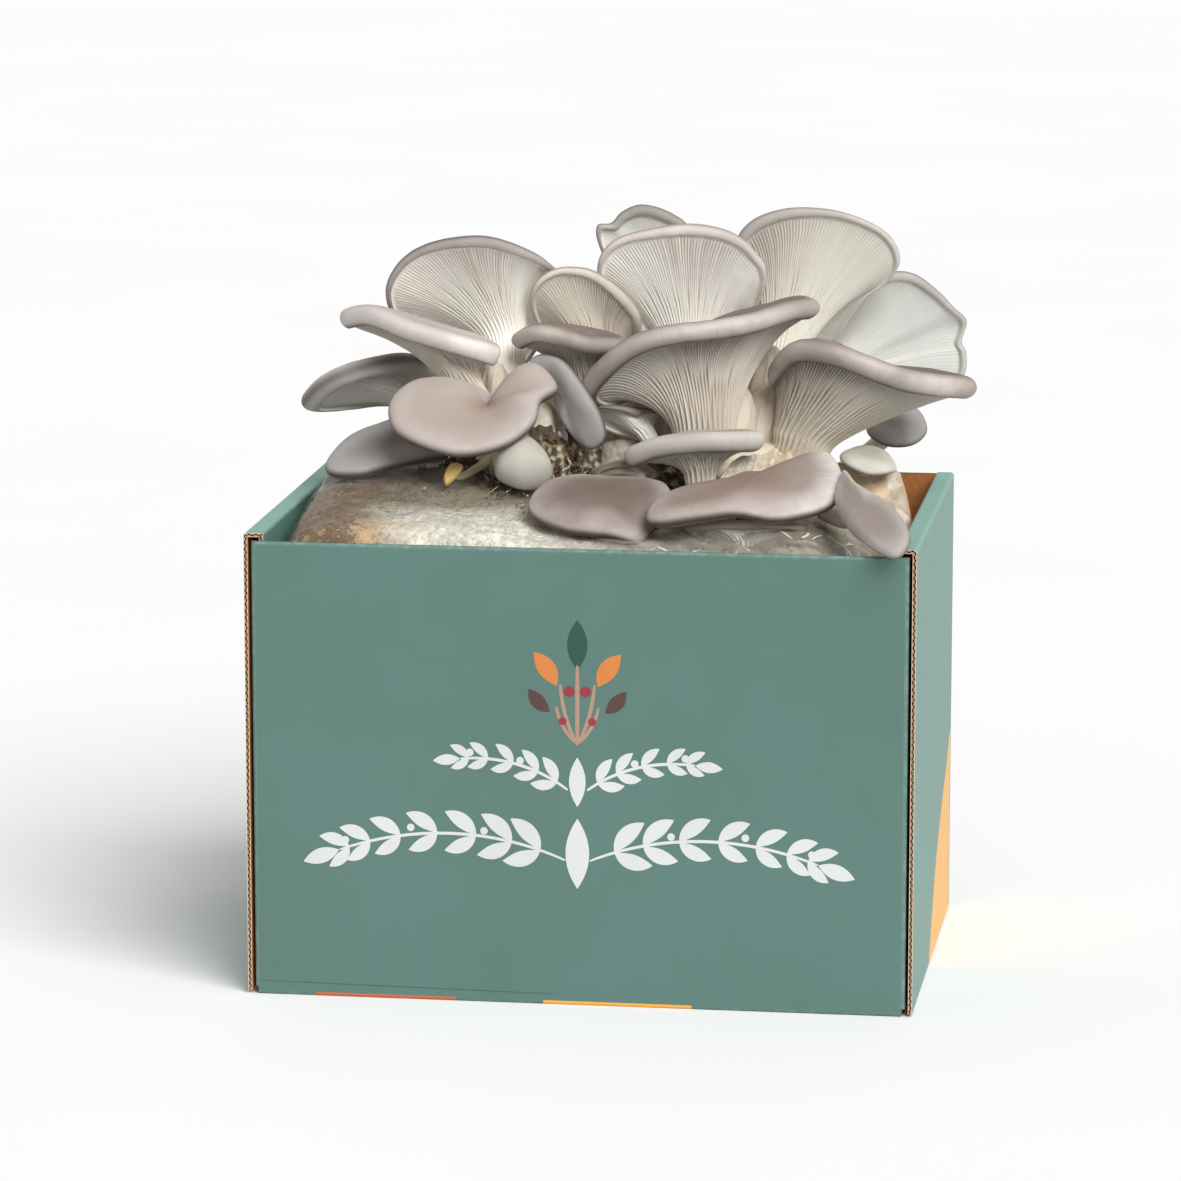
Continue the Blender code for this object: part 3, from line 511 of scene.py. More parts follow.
def leaning(points):
    # row frame in metres: across * a + up * u + towards * t, from the middle of the carton's rim
    turn, lean = (math.radians(leaningFrame[key]) for key in ("turn", "lean"))
    across = np.array([math.cos(turn), math.sin(turn), 0])
    towards = np.array([math.sin(turn) * math.cos(lean), -math.cos(turn) * math.cos(lean), math.sin(lean)])
    axes = np.stack([across, np.cross(towards, across), towards])
    return np.asarray(points, float) @ axes * mm + (0, 0, height)


def closedCurve(points, count):
    # closed Catmull-Rom curve, half of (2b + (c-a)f + (2a-5b+4c-d)f^2 + (3b-a-3c+d)f^3), at even steps
    fine = 60
    t = np.arange(len(points) * fine) / fine
    index = t.astype(int)
    f = (t - index)[:, None]
    a, b, c, d = (points[(index + k) % len(points)] for k in (-1, 0, 1, 2))
    curve = (2 * b + (c - a) * f + (2 * a - 5 * b + 4 * c - d) * f ** 2
             + (3 * b - a - 3 * c + d) * f ** 3) / 2
    loop = np.vstack([curve, curve[:1]])
    length = np.concatenate([[0], np.cumsum(np.linalg.norm(np.diff(loop, axis=0), axis=1))])
    wanted = np.linspace(0, length[-1], count, endpoint=False)
    return np.stack([np.interp(wanted, length, loop[:, k]) for k in range(3)], 1), length[-1]


def cubic(a, b, c, d, steps):
    # cubic Bezier curves from a to d with handles b and c, one row of points per step
    t = steps[:, None, None]
    return (1 - t) ** 3 * a + 3 * (1 - t) ** 2 * t * b + 3 * (1 - t) * t * t * c + t ** 3 * d


def mushroomRings(cap, columns, rows):
    # A bent tube up the stem, cubic curves out under the cap, half ellipses round the edge and
    # cubic curves back over the top; returns the grid and the cap's main directions.
    rim, around = closedCurve(np.array(cap["rim"], float), columns)
    foot, hub, rise, top = (np.array(cap[key], float) for key in ("foot", "hub", "rise", "top"))
    angle = np.arange(columns) * 2 * math.pi / columns
    spoke = rim - rim.mean(0)
    normal = unit(np.cross(spoke, np.roll(spoke, -1, 0)).sum(0))
    rise = unit(rise)
    wind = 1 if normal @ rise > 0 else -1
    normal = normal if normal @ top > 0 else -normal
    a = unit(np.cross(rise, (0.31, 0.17, 0.93)))
    b = wind * np.cross(rise, a)
    phase = np.angle(np.sum((spoke @ a + 1j * (spoke @ b)) * np.exp(-1j * angle)))
    first = math.cos(phase) * a + math.sin(phase) * b
    middle = hub - rise * np.linalg.norm(hub - foot) / 2
    t = np.linspace(0, 1, rows["stem"])[:, None]
    axis = (1 - t) ** 2 * foot + 2 * (1 - t) * t * middle + t * t * hub
    along = unit((1 - t) * (middle - foot) + t * (hub - middle))
    side = unit(first - (along @ first)[:, None] * along)
    other = wind * np.cross(along, side)
    low, high = cap["stem"]
    radius = (low + (high - low) * t ** 1.5)[:, :, None]
    circle = np.cos(angle)[:, None] * side[:, None] + np.sin(angle)[:, None] * other[:, None]
    stem = axis[:, None] + radius * circle
    ring = stem[-1]

    flat = [v - np.outer(v @ normal, normal) for v in (rim - hub, spoke)]
    out = unit(0.35 * unit(flat[0]) + 0.65 * unit(flat[1]))
    glow = np.array(cap.get("glow", (0, 1, 1)), float)
    facing = np.clip(out @ unit(glow - (glow @ normal) * normal), 0, 1)
    thick = 0.42 + 0.5 * facing[:, None] ** 3 if cap["look"] in fans else 1
    above, below, inwards = (amount * thick for amount in cap["edge"])
    room = np.maximum(np.linalg.norm(flat[0], axis=1) - high, 1)[:, None]
    inwards = np.minimum(inwards, 0.45 * room)
    tuckIn = np.minimum(growth["tuckIn"], 0.15 * room)
    tuckUp = growth["tuckUp"]
    lip = rim - out * inwards - normal * below
    gillEnd = lip - out * tuckIn + normal * tuckUp
    # a domed cap's roll stops half way up, so that the top goes on rising from it
    lastBend = math.radians(growth["crownBend"] if "crown" in cap else 90)
    overEdge = rim - out * inwards * (1 - math.cos(lastBend)) + normal * above * math.sin(lastBend)
    onwards = unit(normal * above * math.cos(lastBend) - out * inwards * math.sin(lastBend))
    reach = np.linalg.norm(gillEnd - ring, axis=1)[:, None]
    flare = cap.get("flare", growth["flare"])
    under1 = ring + rise * np.minimum(flare[0] * reach, cap.get("lift", growth["lift"]))
    under2 = gillEnd - out * flare[1] * reach
    gills = cubic(ring, under1, under2, gillEnd, np.linspace(0, 1, rows["gills"] + 1)[1:])
    bend = np.linspace(0, math.pi / 2, rows["lip"] + 1)[1:, None, None]
    tuck = gillEnd + out * tuckIn * (1 - np.cos(bend)) - normal * tuckUp * np.sin(bend)
    bend = np.linspace(-math.pi / 2, lastBend, rows["edge"] + 1)[1:, None, None]
    roll = rim - out * inwards * (1 - np.cos(bend)) + normal * np.where(bend < 0, below, above) * np.sin(bend)
    if "crown" in cap:
        pole = rim.mean(0) + normal * cap["crown"]
        length = np.linalg.norm(overEdge - pole, axis=1)[:, None]
        over1 = pole + unit(flat[1]) * 0.4 * length
        over2 = overEdge + onwards * np.minimum(0.3 * length, 0.7 * cap["crown"])
    else:
        body = cap.get("thick", growth["thick"])
        slant = math.sqrt(max(0, 1 - (normal @ rise) ** 2))
        pole = hub + normal * (high * slant + body)
        over1 = under1 + normal * (body + high * slant * 0.6) - (ring - hub) * 0.7
        over2 = under2 + (overEdge - gillEnd) + normal * body * 0.3 - out * 2
    crest = cubic(overEdge, over2, over1, pole, np.linspace(0, 1, rows["top"] + 1)[1:-1])
    grid = np.concatenate([stem, gills, tuck, roll, crest])
    return grid, foot, pole, normal, facing, around


def gillHeights(columns, travel, columnWidth, look, seed):
    # Long gills every 16 columns, shorter ones between them and the shortest between those, each a
    # bell-shaped ridge that rises where it starts and sinks at the edge. Returns height and envelope.
    rng = np.random.default_rng(seed)
    column = np.arange(columns)
    height = np.zeros((len(travel), columns))
    reached = np.zeros_like(height)
    for first, step, start, spread in ((0, 16, look["start"], 0.14), (8, 16, 0.14, 0.08), (4, 8, 0.4, 0.12)):
        number = np.round((column - first) / step).astype(int) % (columns // step)
        away = np.abs((column - first + step // 2) % step - step // 2)
        ridge = np.exp(-(away * columnWidth / (growth["blade"] * look["gap"])) ** 2)
        begins = (start + spread * rng.uniform(-1, 1, columns // step))[number]
        grown = smooth(travel[:, None], begins, begins + 0.24)
        grown = grown * (1 - 0.35 * smooth(travel, 0.2, 0.9) - 0.65 * smooth(travel, 0.95, 1.0))[:, None]
        height = np.maximum(height, grown * ridge * (0.8 + 0.2 * rng.uniform(0, 1, columns // step))[number])
        reached = np.maximum(reached, grown)
    return height, reached


def makeMushroom(cap, material, seed):
    # the rings as a grid, moved by swell, slow waves and gills, with the masks that its flesh reads
    perimeter = closedCurve(np.array(cap["rim"], float), 200)[1]
    across = perimeter / math.pi
    look = fleshLooks[cap["look"]]
    columns = 16 * max(9, round(perimeter / look["gap"] / 4))
    rows = dict(stem=growth["stemRows"], lip=growth["lipRows"], edge=growth["edgeRows"],
                gills=int(np.clip(across / growth["gillStep"], 16, 58)),
                top=int(np.clip(across / growth["topStep"], 10, 32)))
    grid, foot, pole, normal, facing, around = mushroomRings(cap, columns, rows)
    # travel runs -1 at the foot, 0 at the top of the stem, 1 at the edge and back to 0 on top
    travel = np.concatenate([np.linspace(-1, 0, rows["stem"]), np.linspace(0, 1, rows["gills"] + 1)[1:],
                             np.ones(rows["lip"] + rows["edge"]), np.linspace(1, 0, rows["top"] + 1)[1:-1]])
    number = np.arange(len(travel))
    under = rows["stem"] + rows["gills"]
    onGills = (number < under)[:, None]
    # place on the edge: -1 where the gills end, 0 outermost, 1 on top, then 1 more every 10 mm
    highest = growth["crownEdge"] if "crown" in cap else 1
    upper = under + rows["lip"] + rows["edge"]
    inward = np.full(grid.shape[:2], growth["inside"])
    inward[under:under + rows["lip"]] = growth["tucked"]
    inward[under + rows["lip"]:upper] = np.linspace(-1, highest, rows["edge"] + 1)[1:, None]
    paces = np.linalg.norm(np.diff(grid[upper - 1:], axis=0), axis=2)
    inward[upper:] = highest + np.cumsum(paces, axis=0) / 10
    # the top of a cap may swell
    onTop = number > under + rows["lip"] + rows["edge"] // 2
    bulge = cap.get("swell", 0) * np.where(onTop, 1 - travel ** 2, 0)
    grid = grid + bulge[:, None, None] * normal
    pole = pole + cap.get("swell", 0) * normal
    # slow waves of the whole cap, and of its edge
    level = grid - (grid @ normal)[..., None] * normal
    lift = lumpy(level, seed, (growth["wave"], 42), (growth["ruffle"], 8))
    grid = grid + (lift * smooth(travel, 0.3, 1.0)[:, None])[..., None] * normal
    # gills stand out along the surface's normal and sway a little sideways
    sideways = np.roll(grid, -1, 1) - np.roll(grid, 1, 1)
    outwards = unit(np.cross(sideways, np.gradient(grid, axis=0)))
    if np.sum((grid[0] - grid[0].mean(0)) * outwards[0]) < 0:
        outwards = -outwards
    columnWidth = np.linalg.norm(sideways, axis=2) / 2
    height, reached = gillHeights(columns, travel, columnWidth, look, seed)
    strength = (0.55 + 0.45 * facing) * np.minimum(1, columnWidth / 0.09)
    sway = growth["sway"] * ripple(grid, 24, seed + 2) * smooth(travel, 0.1, 0.6)[:, None]
    grid = grid + (onGills * look["deep"] * strength * height)[..., None] * outwards
    grid = grid + (onGills * sway)[..., None] * unit(sideways)

    even = np.ones(grid.shape[:2])
    # valley marks the painted shade between the gills, and warm the side facing glow, where that painted
    # shade is strongest
    warmest = facing ** (4 if cap["look"] in fans else 1.5)
    masks = dict(
        skin=(number >= under + rows["lip"] // 2)[:, None] * even,
        reach=travel[:, None] * even,
        valley=onGills * (reached - height) / np.maximum(reached, 0.45),
        warm=onGills * np.outer(smooth(travel, 0.0, 0.9), warmest),
        inward=inward,
    )
    masks["valley"] = masks["valley"] * smooth(travel, look["start"], 0.5)[:, None]
    angle = np.arange(columns) * 2 * math.pi / columns
    spokes = np.stack([even * turn(angle) * around / 6 for turn in (np.cos, np.sin)] + [masks["reach"]], -1)
    masks = {key: np.append(values.ravel(), [values[0, 0], values[-1, 0]]) for key, values in masks.items()}
    masks["spoke"] = np.concatenate([spokes.reshape(-1, 3), [[0, 0, -1], [0, 0, 0]]])
    points = leaning(np.concatenate([grid.reshape(-1, 3), [foot, pole]]))
    # the grid's quads, and a fan of triangles at the foot and at the middle of the top
    count = even.size
    first = np.arange(columns)
    last = first + count - columns
    faces = [gridFaces(len(grid), columns, wrap=True),
             np.stack([first, np.full(columns, count), np.roll(first, -1)], -1),
             np.stack([last, np.roll(last, -1), np.full(columns, count + 1)], -1)]
    node = cap["name"] if cap["name"] in buds else cap["name"] + "_mushroom"
    addPiece(cap["name"] + "_grown", points, facingOut(points, faces), material, [node], masks)


def fleshMaterial(name, look):
    # gills by how far out they are, with painted shade in warm brown between two ridges; skin by the distance
    # from the edge: a dark line, partly the margin's own colour and partly painted shade along the outline,
    # a light band, then painted shade as the top curves away, and the cap's own middle colour
    material, tree = newMaterial(name)
    tint = {key: tone(look[key]) for key in "gill outer valley skin shade rim stem centre".split()}
    reach, valley, warm, inward, skin = (mask(tree, key) for key in "reach valley warm inward skin".split())
    patches = useGroup(tree, clouds, 26.0, 0.6)
    broad = span(noise(place(tree), 15.0, 2.0, 0.4), 0.4, 0.62)
    streaks = noise(mask(tree, "spoke", "Vector"), 1.0)
    faint, strong = look["ink"]
    # painted shade between the gills, strongest on the side facing glow and nearer the edge
    deep = times(valley, span(warm, 0.0, 1.0, faint, strong), span(reach, 0.0, 0.75, 0.55, 1.0))
    # painted shade below the rolled edge: brown streaks towards the rim on the side facing glow
    close = times(span(warm, 0.45, 1.0), span(reach, 0.2, 0.85), span(streaks, 0.42, 0.6, 0.15, 1.0))
    gill = layered(tint["gill"], (tint["outer"], span(reach, 0.2, 0.95)),
                   (tint["stem"], span(streaks, 0.35, 0.7), 0.14),
                   (tint["valley"], clamped(deep)), (tint["valley"], close, 0.35 * strong),
                   (mixed(streaks, tint["stem"], tint["gill"]), span(reach, 0.12, -0.25)))
    # the top: painted shade as it curves away from the edge, the middle colour, and the dark line, partly the
    # margin's own colour and partly painted shade along the outline
    where, wide, amount = look["line"]
    away = calc("ABSOLUTE", calc("SUBTRACT", inward, where))
    marks = calc("MAXIMUM", times(broad, 0.6), span(streaks, 0.5, 0.75, 0.0, 0.3))
    top = layered(tint["skin"], (tint["shade"], patches, 0.35), (tint["shade"], marks),
                  (tint["shade"], span(inward, *look["fade"]), 0.85),
                  (tint["centre"], span(reach, 0.55, 0.0), 0.8),
                  (tint["rim"], span(away, wide, 0.0), amount))
    return paint(material, BaseColor=mixed(skin, gill, top), Roughness=span(patches, 0.0, 1.0, 0.52, 0.66),
                 SpecularIORLevel=0.4, SubsurfaceWeight=0.15, SubsurfaceRadius=(1.0, 0.75, 0.55),
                 SubsurfaceScale=0.0025,
                 Normal=bump(noise(place(tree), 1400.0), 0.0001, 0.25, bump(streaks, 0.0004, 0.3)))


fleshes = {name: fleshMaterial(name + "Flesh", look) for name, look in fleshLooks.items()}
for number, cap in enumerate(mushrooms):
    makeMushroom(cap, fleshes[cap["look"]], 10 * number)
print("mushrooms grown:", len(mushrooms))


# carton

carton = dict(board=1.7, liner=0.25, band=8, fold=1.5, slit=3, drop=3.5, flap=55, wave=2.9, paper=0.22,
              open=9, leafShort=2, bottomShort=12, notch=3.4)
carton = {key: value * mm for key, value in carton.items()}


def pathAt(path, steps):
    # points, inward normals and nearness to a fold at the given lengths along a flat path
    def at(s):
        return np.stack([np.interp(s, path["length"], path["dense"][:, k]) for k in range(2)], -1)
    way = unit(at(steps + 2e-5) - at(steps - 2e-5))
    normal = path["side"] * np.stack([-way[:, 1], way[:, 0]], -1)
    away = np.abs(steps[:, None] - np.append(path["middles"], 9)).min(1)
    fold = np.exp(-(away / path["radius"]) ** 2)
    return dict(path, steps=steps, points=at(steps), normals=normal, fold=fold)


def foldedPath(corners, side):
    # polyline through the corners with a quarter of a circle at every inner one, stepped closely
    # near the folds; side is 1 if the board lies to the left of the path and -1 if to the right
    radius = carton["fold"]
    corners = np.array(corners, float)
    ways = unit(np.diff(corners, axis=0))
    bend = np.linspace(0, math.pi / 2, 25)[:, None]
    arcs = [c - w * radius + radius * (w * np.sin(bend) + v * (1 - np.cos(bend)))
            for c, w, v in zip(corners[1:-1], ways[:-1], ways[1:])]
    dense = np.concatenate([corners[:1], *arcs, corners[-1:]])
    length = np.concatenate([[0], np.cumsum(np.linalg.norm(np.diff(dense, axis=0), axis=1))])
    middles = np.array([length[13 + 25 * k] for k in range(len(arcs))])
    near = radius * np.array([-2.2, -1.2, -0.785, -0.5, -0.25, 0, 0.25, 0.5, 0.785, 1.2, 2.2])
    steps = np.concatenate([[0, length[-1]], (middles[:, None] + near).ravel()])
    steps = np.unique(np.clip(steps, 0, length[-1]).round(6))
    return pathAt(dict(dense=dense, length=length, middles=middles, side=side, radius=radius), steps)


def layer(path, plane, low, high, start, end, share=(0, 0.0002, 0.25, 0.5, 0.75, 0.9998, 1)):
    # One layer of the board: the path moved inwards by low and by high, swept from start to end.
    # plane names the two axes the path lies in and the one it is swept along. Returns points, quads
    # and the masks of folds and of cut ends.
    size = len(path["points"])
    start, end = np.broadcast_to(start, size), np.broadcast_to(end, size)
    grids = []
    for amount in (low, high):
        flat = path["points"] + path["normals"] * np.broadcast_to(amount, size)[:, None]
        grid = np.zeros((size, len(share), 3))
        grid[..., plane[0]], grid[..., plane[1]] = flat[:, :1], flat[:, 1:]
        grid[..., plane[2]] = start[:, None] + np.outer(end - start, share)
        grids.append(grid)
    cut = np.tile([1.0 if t in (0, 1) else 0.0 for t in share], size)
    return (*slab(*grids), np.tile(np.repeat(path["fold"], len(share)), 2), np.tile(cut, 2))


def fluting(path, plane, start, end):
    # the wavy paper between the liners: a sine along the path, seen a little way in from its cut end
    close = pathAt(path, np.arange(0, path["length"][-1], carton["wave"] / 7))
    board, half = carton["board"], carton["paper"] / 2
    swing = (board / 2 - carton["liner"] - half) * np.sin(close["steps"] * 2 * np.pi / carton["wave"])
    start, end = (np.interp(close["steps"], path["steps"], np.broadcast_to(v, len(path["steps"])))
                  for v in (start, end))
    return layer(close, plane, board / 2 + swing - half, board / 2 + swing + half, start, end, (0, 0.04, 1))


def addBoards(name, material, layers):
    # layers as one piece, with masks for folds, cut ends and the band along the top, which is painted lighter
    # as a painted highlight
    points, quads = joined(layers)
    masks = {key: np.concatenate([item[k] for item in layers]) for key, k in (("fold", 2), ("cut", 3))}
    # painted highlight along the top, where the light falls on the upper edges of the walls
    masks["band"] = smooth(points[:, 2], height - 2.5 * mm, height - 0.5 * mm)
    addPiece(name, points, [quads], material, ["carton"], masks, flat=True)


def makeCarton(card, litWallCard, kraft, inside, stripes):
    # the folded sheet as printed liner, fluting and plain liner: the strip of side walls and bottom
    # first, then the front and back panels with their flaps
    board, liner, fold, cut = (carton[key] for key in ("board", "liner", "fold", "open"))
    half, inner, top = width / 2, width / 2 - carton["band"], height
    printed, plain, wavy = [], [], []

    def bothLiners(path, plane, start, end):
        # the printed liner outside and the plain one inside
        printed.append(layer(path, plane, 0, liner, start, end))
        plain.append(layer(path, plane, board - liner, board, start, end))

    # side walls and bottom: one strip in x and z, swept along y; leaves and bottom are shorter
    walls = foldedPath([(inner, board), (inner, top), (half, top), (half, 0), (-half, 0), (-half, top),
                        (-inner, top), (-inner, board)], -1)
    x, z = walls["points"].T
    reach = np.full(len(x), depth / 2)
    reach[(np.abs(x) < inner + 0.5 * mm) & (z > board)] -= carton["leafShort"]
    reach[z < fold / 2] -= carton["bottomShort"]
    bothLiners(walls, (0, 2, 1), -reach, reach)
    # the side walls take the lighter green, painted light for the lit right side
    addBoards("printedWalls", litWallCard, printed)
    printed = []
    for side in (-1, 1):
        wavy.append(fluting(walls, (0, 2, 1), side * reach, side * (reach - cut)))
    # front and back: a face folded in at the bottom, and a fold with a flap at both of its ends
    edge = half - carton["slit"]
    lowFront = depth / 2 - carton["bottomShort"]
    for side, panelTop in ((1, top - 0.3 * mm), (-1, top - carton["drop"])):
        face, back = side * depth / 2, side * (depth / 2 - carton["flap"])
        turnedIn = side * (depth / 2 - carton["bottomShort"])
        # the printed liner is also folded over the panel's top
        corners = [(face - side * board, panelTop), (face, panelTop), (face, 0), (turnedIn, 0)]
        for path, low, high, liners in ((foldedPath(corners, -side), 0, liner, printed),
                                        (foldedPath(corners[1:], -side), board - liner, board, plain)):
            liners.append(layer(path, (1, 2, 0), low, high, fold - edge, edge - fold))
        plan = foldedPath([(-edge, back), (-edge, face), (edge, face), (edge, back)], -side)
        wavy.append(fluting(plan, (0, 1, 2), panelTop - fold - liner, panelTop - cut))
        for end in (-1, 1):
            kept = plan["points"][:, 0] * end > edge - fold - 1e-6
            flap = dict(plan, **{key: plan[key][kept] for key in ("points", "normals", "fold")})
            bothLiners(flap, (0, 1, 2), carton["notch"], panelTop)
    # short stripes of ink under the front, over its fold
    profile = foldedPath([(-depth / 2, panelTop), (-depth / 2, 0), (-lowFront, 0)], 1)
    bottomSteps = np.interp([1.7 * mm, 0.12 * mm], profile["dense"][::-1, 1], profile["length"][::-1])
    under = pathAt(profile, np.linspace(*bottomSteps, 9))
    for name, material, low, high in (("firstStripe", stripes[0], -111, -51.5),
                                      ("secondStripe", stripes[1], -14.5, 48)):
        addBoards(name, material, [layer(under, (1, 2, 0), -0.06 * mm, 0.05 * mm, low * mm, high * mm)])
    addBoards("printedCard", card, printed)
    addBoards("plainCard", kraft, plain)
    addBoards("flutedCard", inside, wavy)


# the side walls' green is painted lighter than the front's green, painted light standing in for the light on
# the right side; band is a painted highlight on the tops of the walls
cardLook = dict(green=(82, 115, 107), wall=(102, 141, 131), worn=(120, 152, 142), band=(132, 174, 160),
                cut=(224, 192, 160), kraft=(186, 116, 62), deep=(146, 88, 44), raw=(190, 150, 112),
                orange=(192, 104, 62), amber=(240, 172, 66))


def cardMaterial(name, colour, worn, shine):
    # even ink or paper, a little lighter along the folds, with faint clouds and paper grain, and a painted
    # highlight along the band at the top
    material, tree = newMaterial(name)
    dark, light = (tuple(v * share for v in tone(colour)) for share in (0.96, 1.04))
    specks = span(noise(place(tree), 260.0), 0.45, 0.62)
    wear = clamped(times(calc("POWER", mask(tree, "fold"), 3.0), calc("ADD", specks, 0.35)))
    # the band colour is a painted highlight along the tops of the walls
    base = layered(mixed(useGroup(tree, clouds, 9.0, 0.5), dark, light),
                   (tone(cardLook["band"]), mask(tree, "band"), 0.8), (tone(worn), wear, 0.6),
                   (tone(cardLook["cut"]), mask(tree, "cut")))
    return paint(material, BaseColor=base, Roughness=shine, Normal=useGroup(tree, grain, 700.0, 0.06))


def kraftMaterial(name, colour, deep):
    # brown paper with fibres along the board
    material, tree = newMaterial(name)
    fibres = noise(place(tree, 1, 1, 0.7), 600.0, 4.0)
    base = layered(tone(colour), (tone(deep), span(fibres, 0.7, 0.35), 0.4),
                   (tone(deep), useGroup(tree, clouds, 14.0, 0.6), 0.35),
                   (tone(cardLook["cut"]), mask(tree, "cut")))
    return paint(material, BaseColor=base, Roughness=0.85, Normal=bump(fibres, 0.0002, 0.4))


makeCarton(cardMaterial("greenCard", cardLook["green"], cardLook["worn"], 0.5),
           cardMaterial("litWallCard", cardLook["wall"], cardLook["worn"], 0.5),
           kraftMaterial("kraftPaper", cardLook["kraft"], cardLook["deep"]),
           kraftMaterial("flutedPaper", cardLook["raw"], cardLook["deep"]),
           [cardMaterial(key + "Stripe", cardLook[key], cardLook[key], 0.5) for key in ("orange", "amber")])
print("carton built")


# printed ornament

inkProud = 0.06 * mm
# inks of the print; crease is painted shade along a crease in the front, laid on like an ink
inkLook = dict(white=(206, 209, 207), orange=(206, 124, 58), green=(34, 74, 62), brown=(80, 56, 48),
               red=(148, 42, 54), straw=(168, 136, 116), amber=(232, 172, 78), crease=(66, 94, 87))
# the curved edge of the band on the right side, y and z in mm, and how far back the band goes
sideBand = [(-12, 0.4), (-9.4, 5.1), (-2, 14.5), (7.2, 24.8), (20.9, 39.7), (45.4, 55.9), (76, 71.5),
            (92.5, 84)]
bandBack = 92.5


def frond(base, angle, length, breadth, curl=0.0, full=1.0, rows=19, columns=5):
    # a leaf: its middle line turns evenly by curl, its half width goes as (4t(1-t))^full
    t = (1 - np.cos(np.linspace(0, math.pi, rows))) / 2
    turn = np.radians(angle + curl * t)
    step = np.diff(t, prepend=0)[:, None] * length * np.stack([np.cos(turn), np.sin(turn)], -1)
    middle = np.array(base) + np.cumsum(step, axis=0)
    half = breadth / 2 * (4 * t * (1 - t)) ** full
    aside = np.stack([-np.sin(turn), np.cos(turn)], -1)
    return middle[:, None] + (half[:, None] * np.linspace(-1, 1, columns))[..., None] * aside[:, None]


def onFace(grid, face, order):
    # a flat shape in mm, laid on the front (x, z) or on the right side (y, z), a hair proud of it
    # and a little more with every shape, so that overlapping ones stay apart
    across, up = grid[..., 0] * mm, grid[..., 1] * mm
    bodies = []
    for lift in (inkProud * (1 + 0.03 * order), -inkProud):
        if face == "front":
            body = [across, np.full_like(up, -depth / 2 - lift), up]
        else:
            body = [np.full_like(up, width / 2 + lift), across, up]
        bodies.append(np.stack(body, -1))
    return slab(*bodies)


def branch(base, angle, length, curl, leaves, size, shrink):
    # a stalk with pairs of leaves that get smaller outwards and one at its tip, and round buds
    stalk = frond(base, angle, length, 1.3, curl, 0.15, 25, 3)
    middle = stalk[:, 1]
    shapes = [stalk]
    for k in range(leaves):
        t = 0.22 + 0.75 * k / leaves
        spot = np.array([np.interp(t, np.linspace(0, 1, 25), middle[:, n]) for n in (0, 1)])
        way = angle + curl * t
        grown = size * shrink ** k
        shapes.append(frond(spot, way + 52, grown, grown * 0.38, -38))
        shapes.append(frond(spot, way - 52, grown * 0.92, grown * 0.36, 38))
        if k % 2:
            turn = math.radians(way + 12)
            bud = spot + 0.62 * grown * np.array([math.cos(turn), math.sin(turn)])
            shapes.append(frond(bud, way, 3.2, 3.2, 0, 0.5, 13))
    last = size * shrink ** leaves
    shapes.append(frond(middle[-1], angle + curl, last * 1.25, last * 0.5))
    return shapes


def mirrored(shapes):
    # the shapes and their mirror images across the middle
    return shapes + [(shape * (-1, 1))[:, ::-1] for shape in shapes]


def addInk(name, shapes, material, face="front", first=0):
    # flat shapes of one ink as one piece
    points, quads = joined([onFace(shape, face, first + order) for order, shape in enumerate(shapes)])
    addPiece(name, points, [quads], material, [], flat=True)


def makeOrnament():
    # a spray of leaves and berries over two garlands, in mm from the front's lower middle
    inks = {key: cardMaterial(key + "Ink", colour, colour, 0.45) for key, colour in inkLook.items()}
    white = branch((5, 62), 24, 98, -44, 7, 18.5, 0.95) + branch((4, 92), 38, 48, -44, 5, 12.5, 0.94)
    white = mirrored(white)
    white += [frond((0, 50), 90, 30, 10), frond((0, 85), 90, 21, 7)]
    addInk("whiteInk", white, inks["white"])
    addInk("strawInk", mirrored([frond((0.4, 112), 62, 26, 1.6, 24, 0.2, 19, 3),
                                 frond((0.4, 112), 40, 18, 1.5, 40, 0.2, 19, 3)])
           + [frond((0, 111), 90, 34, 1.8, 0, 0.2, 19, 3)], inks["straw"])
    addInk("greenInk", [frond((0, 143), 90, 21, 8.5)], inks["green"])
    addInk("orangeInk", mirrored([frond((8.6, 136), 66, 17, 7.6, -20)]), inks["orange"])
    addInk("brownInk", mirrored([frond((11.5, 125), 34, 13, 6, 24)]), inks["brown"])
    addInk("redInk", mirrored([frond((3.4, 131.5), 90, 4.6, 4.6, 0, 0.5, 15),
                               frond((6.2, 119.5), 90, 3.4, 3.4, 0, 0.5, 15)]), inks["red"], first=12)
    # a wide band on the right side that curves down to a point, and low on the front a thin darker green
    # line, painted shade along a faint crease
    t = np.linspace(0, len(sideBand) - 1, 40)
    y, z = (np.interp(t, np.arange(len(sideBand)), np.array(sideBand)[:, k]) for k in (0, 1))
    y, z = (np.convolve(np.pad(v, 3, mode="edge"), np.full(7, 1 / 7), mode="valid") for v in (y, z))
    band = np.stack([np.stack([y * (1 - s) + bandBack * s, z], -1) for s in np.linspace(0, 1, 6)], 1)
    addInk("amberInk", [band], inks["amber"], "right")
    addInk("creaseInk", [frond((-136, 5.9), -0.6, 128, 0.4, 0, 0.35)], inks["crease"])


makeOrnament()
print("ornament printed")


# block, film and cluster bases

# mm; the dent and the hump are bell-shaped, the right end sags over the stretch sagFrom, and the
# whole surface is set in by sunk before its lumps are added
block = dict(low=(-127.5, -89.5, 2.3), high=(124.5, 88.5, 198), dome=8, dent=10, dentPlace=(50, -90),
             dentSpread=(75, 40), hump=13, humpPlace=(-112, 10), humpSpread=(58, 66), sag=16,
             sagFrom=(88, 126), squareness=16, sunk=0.6)


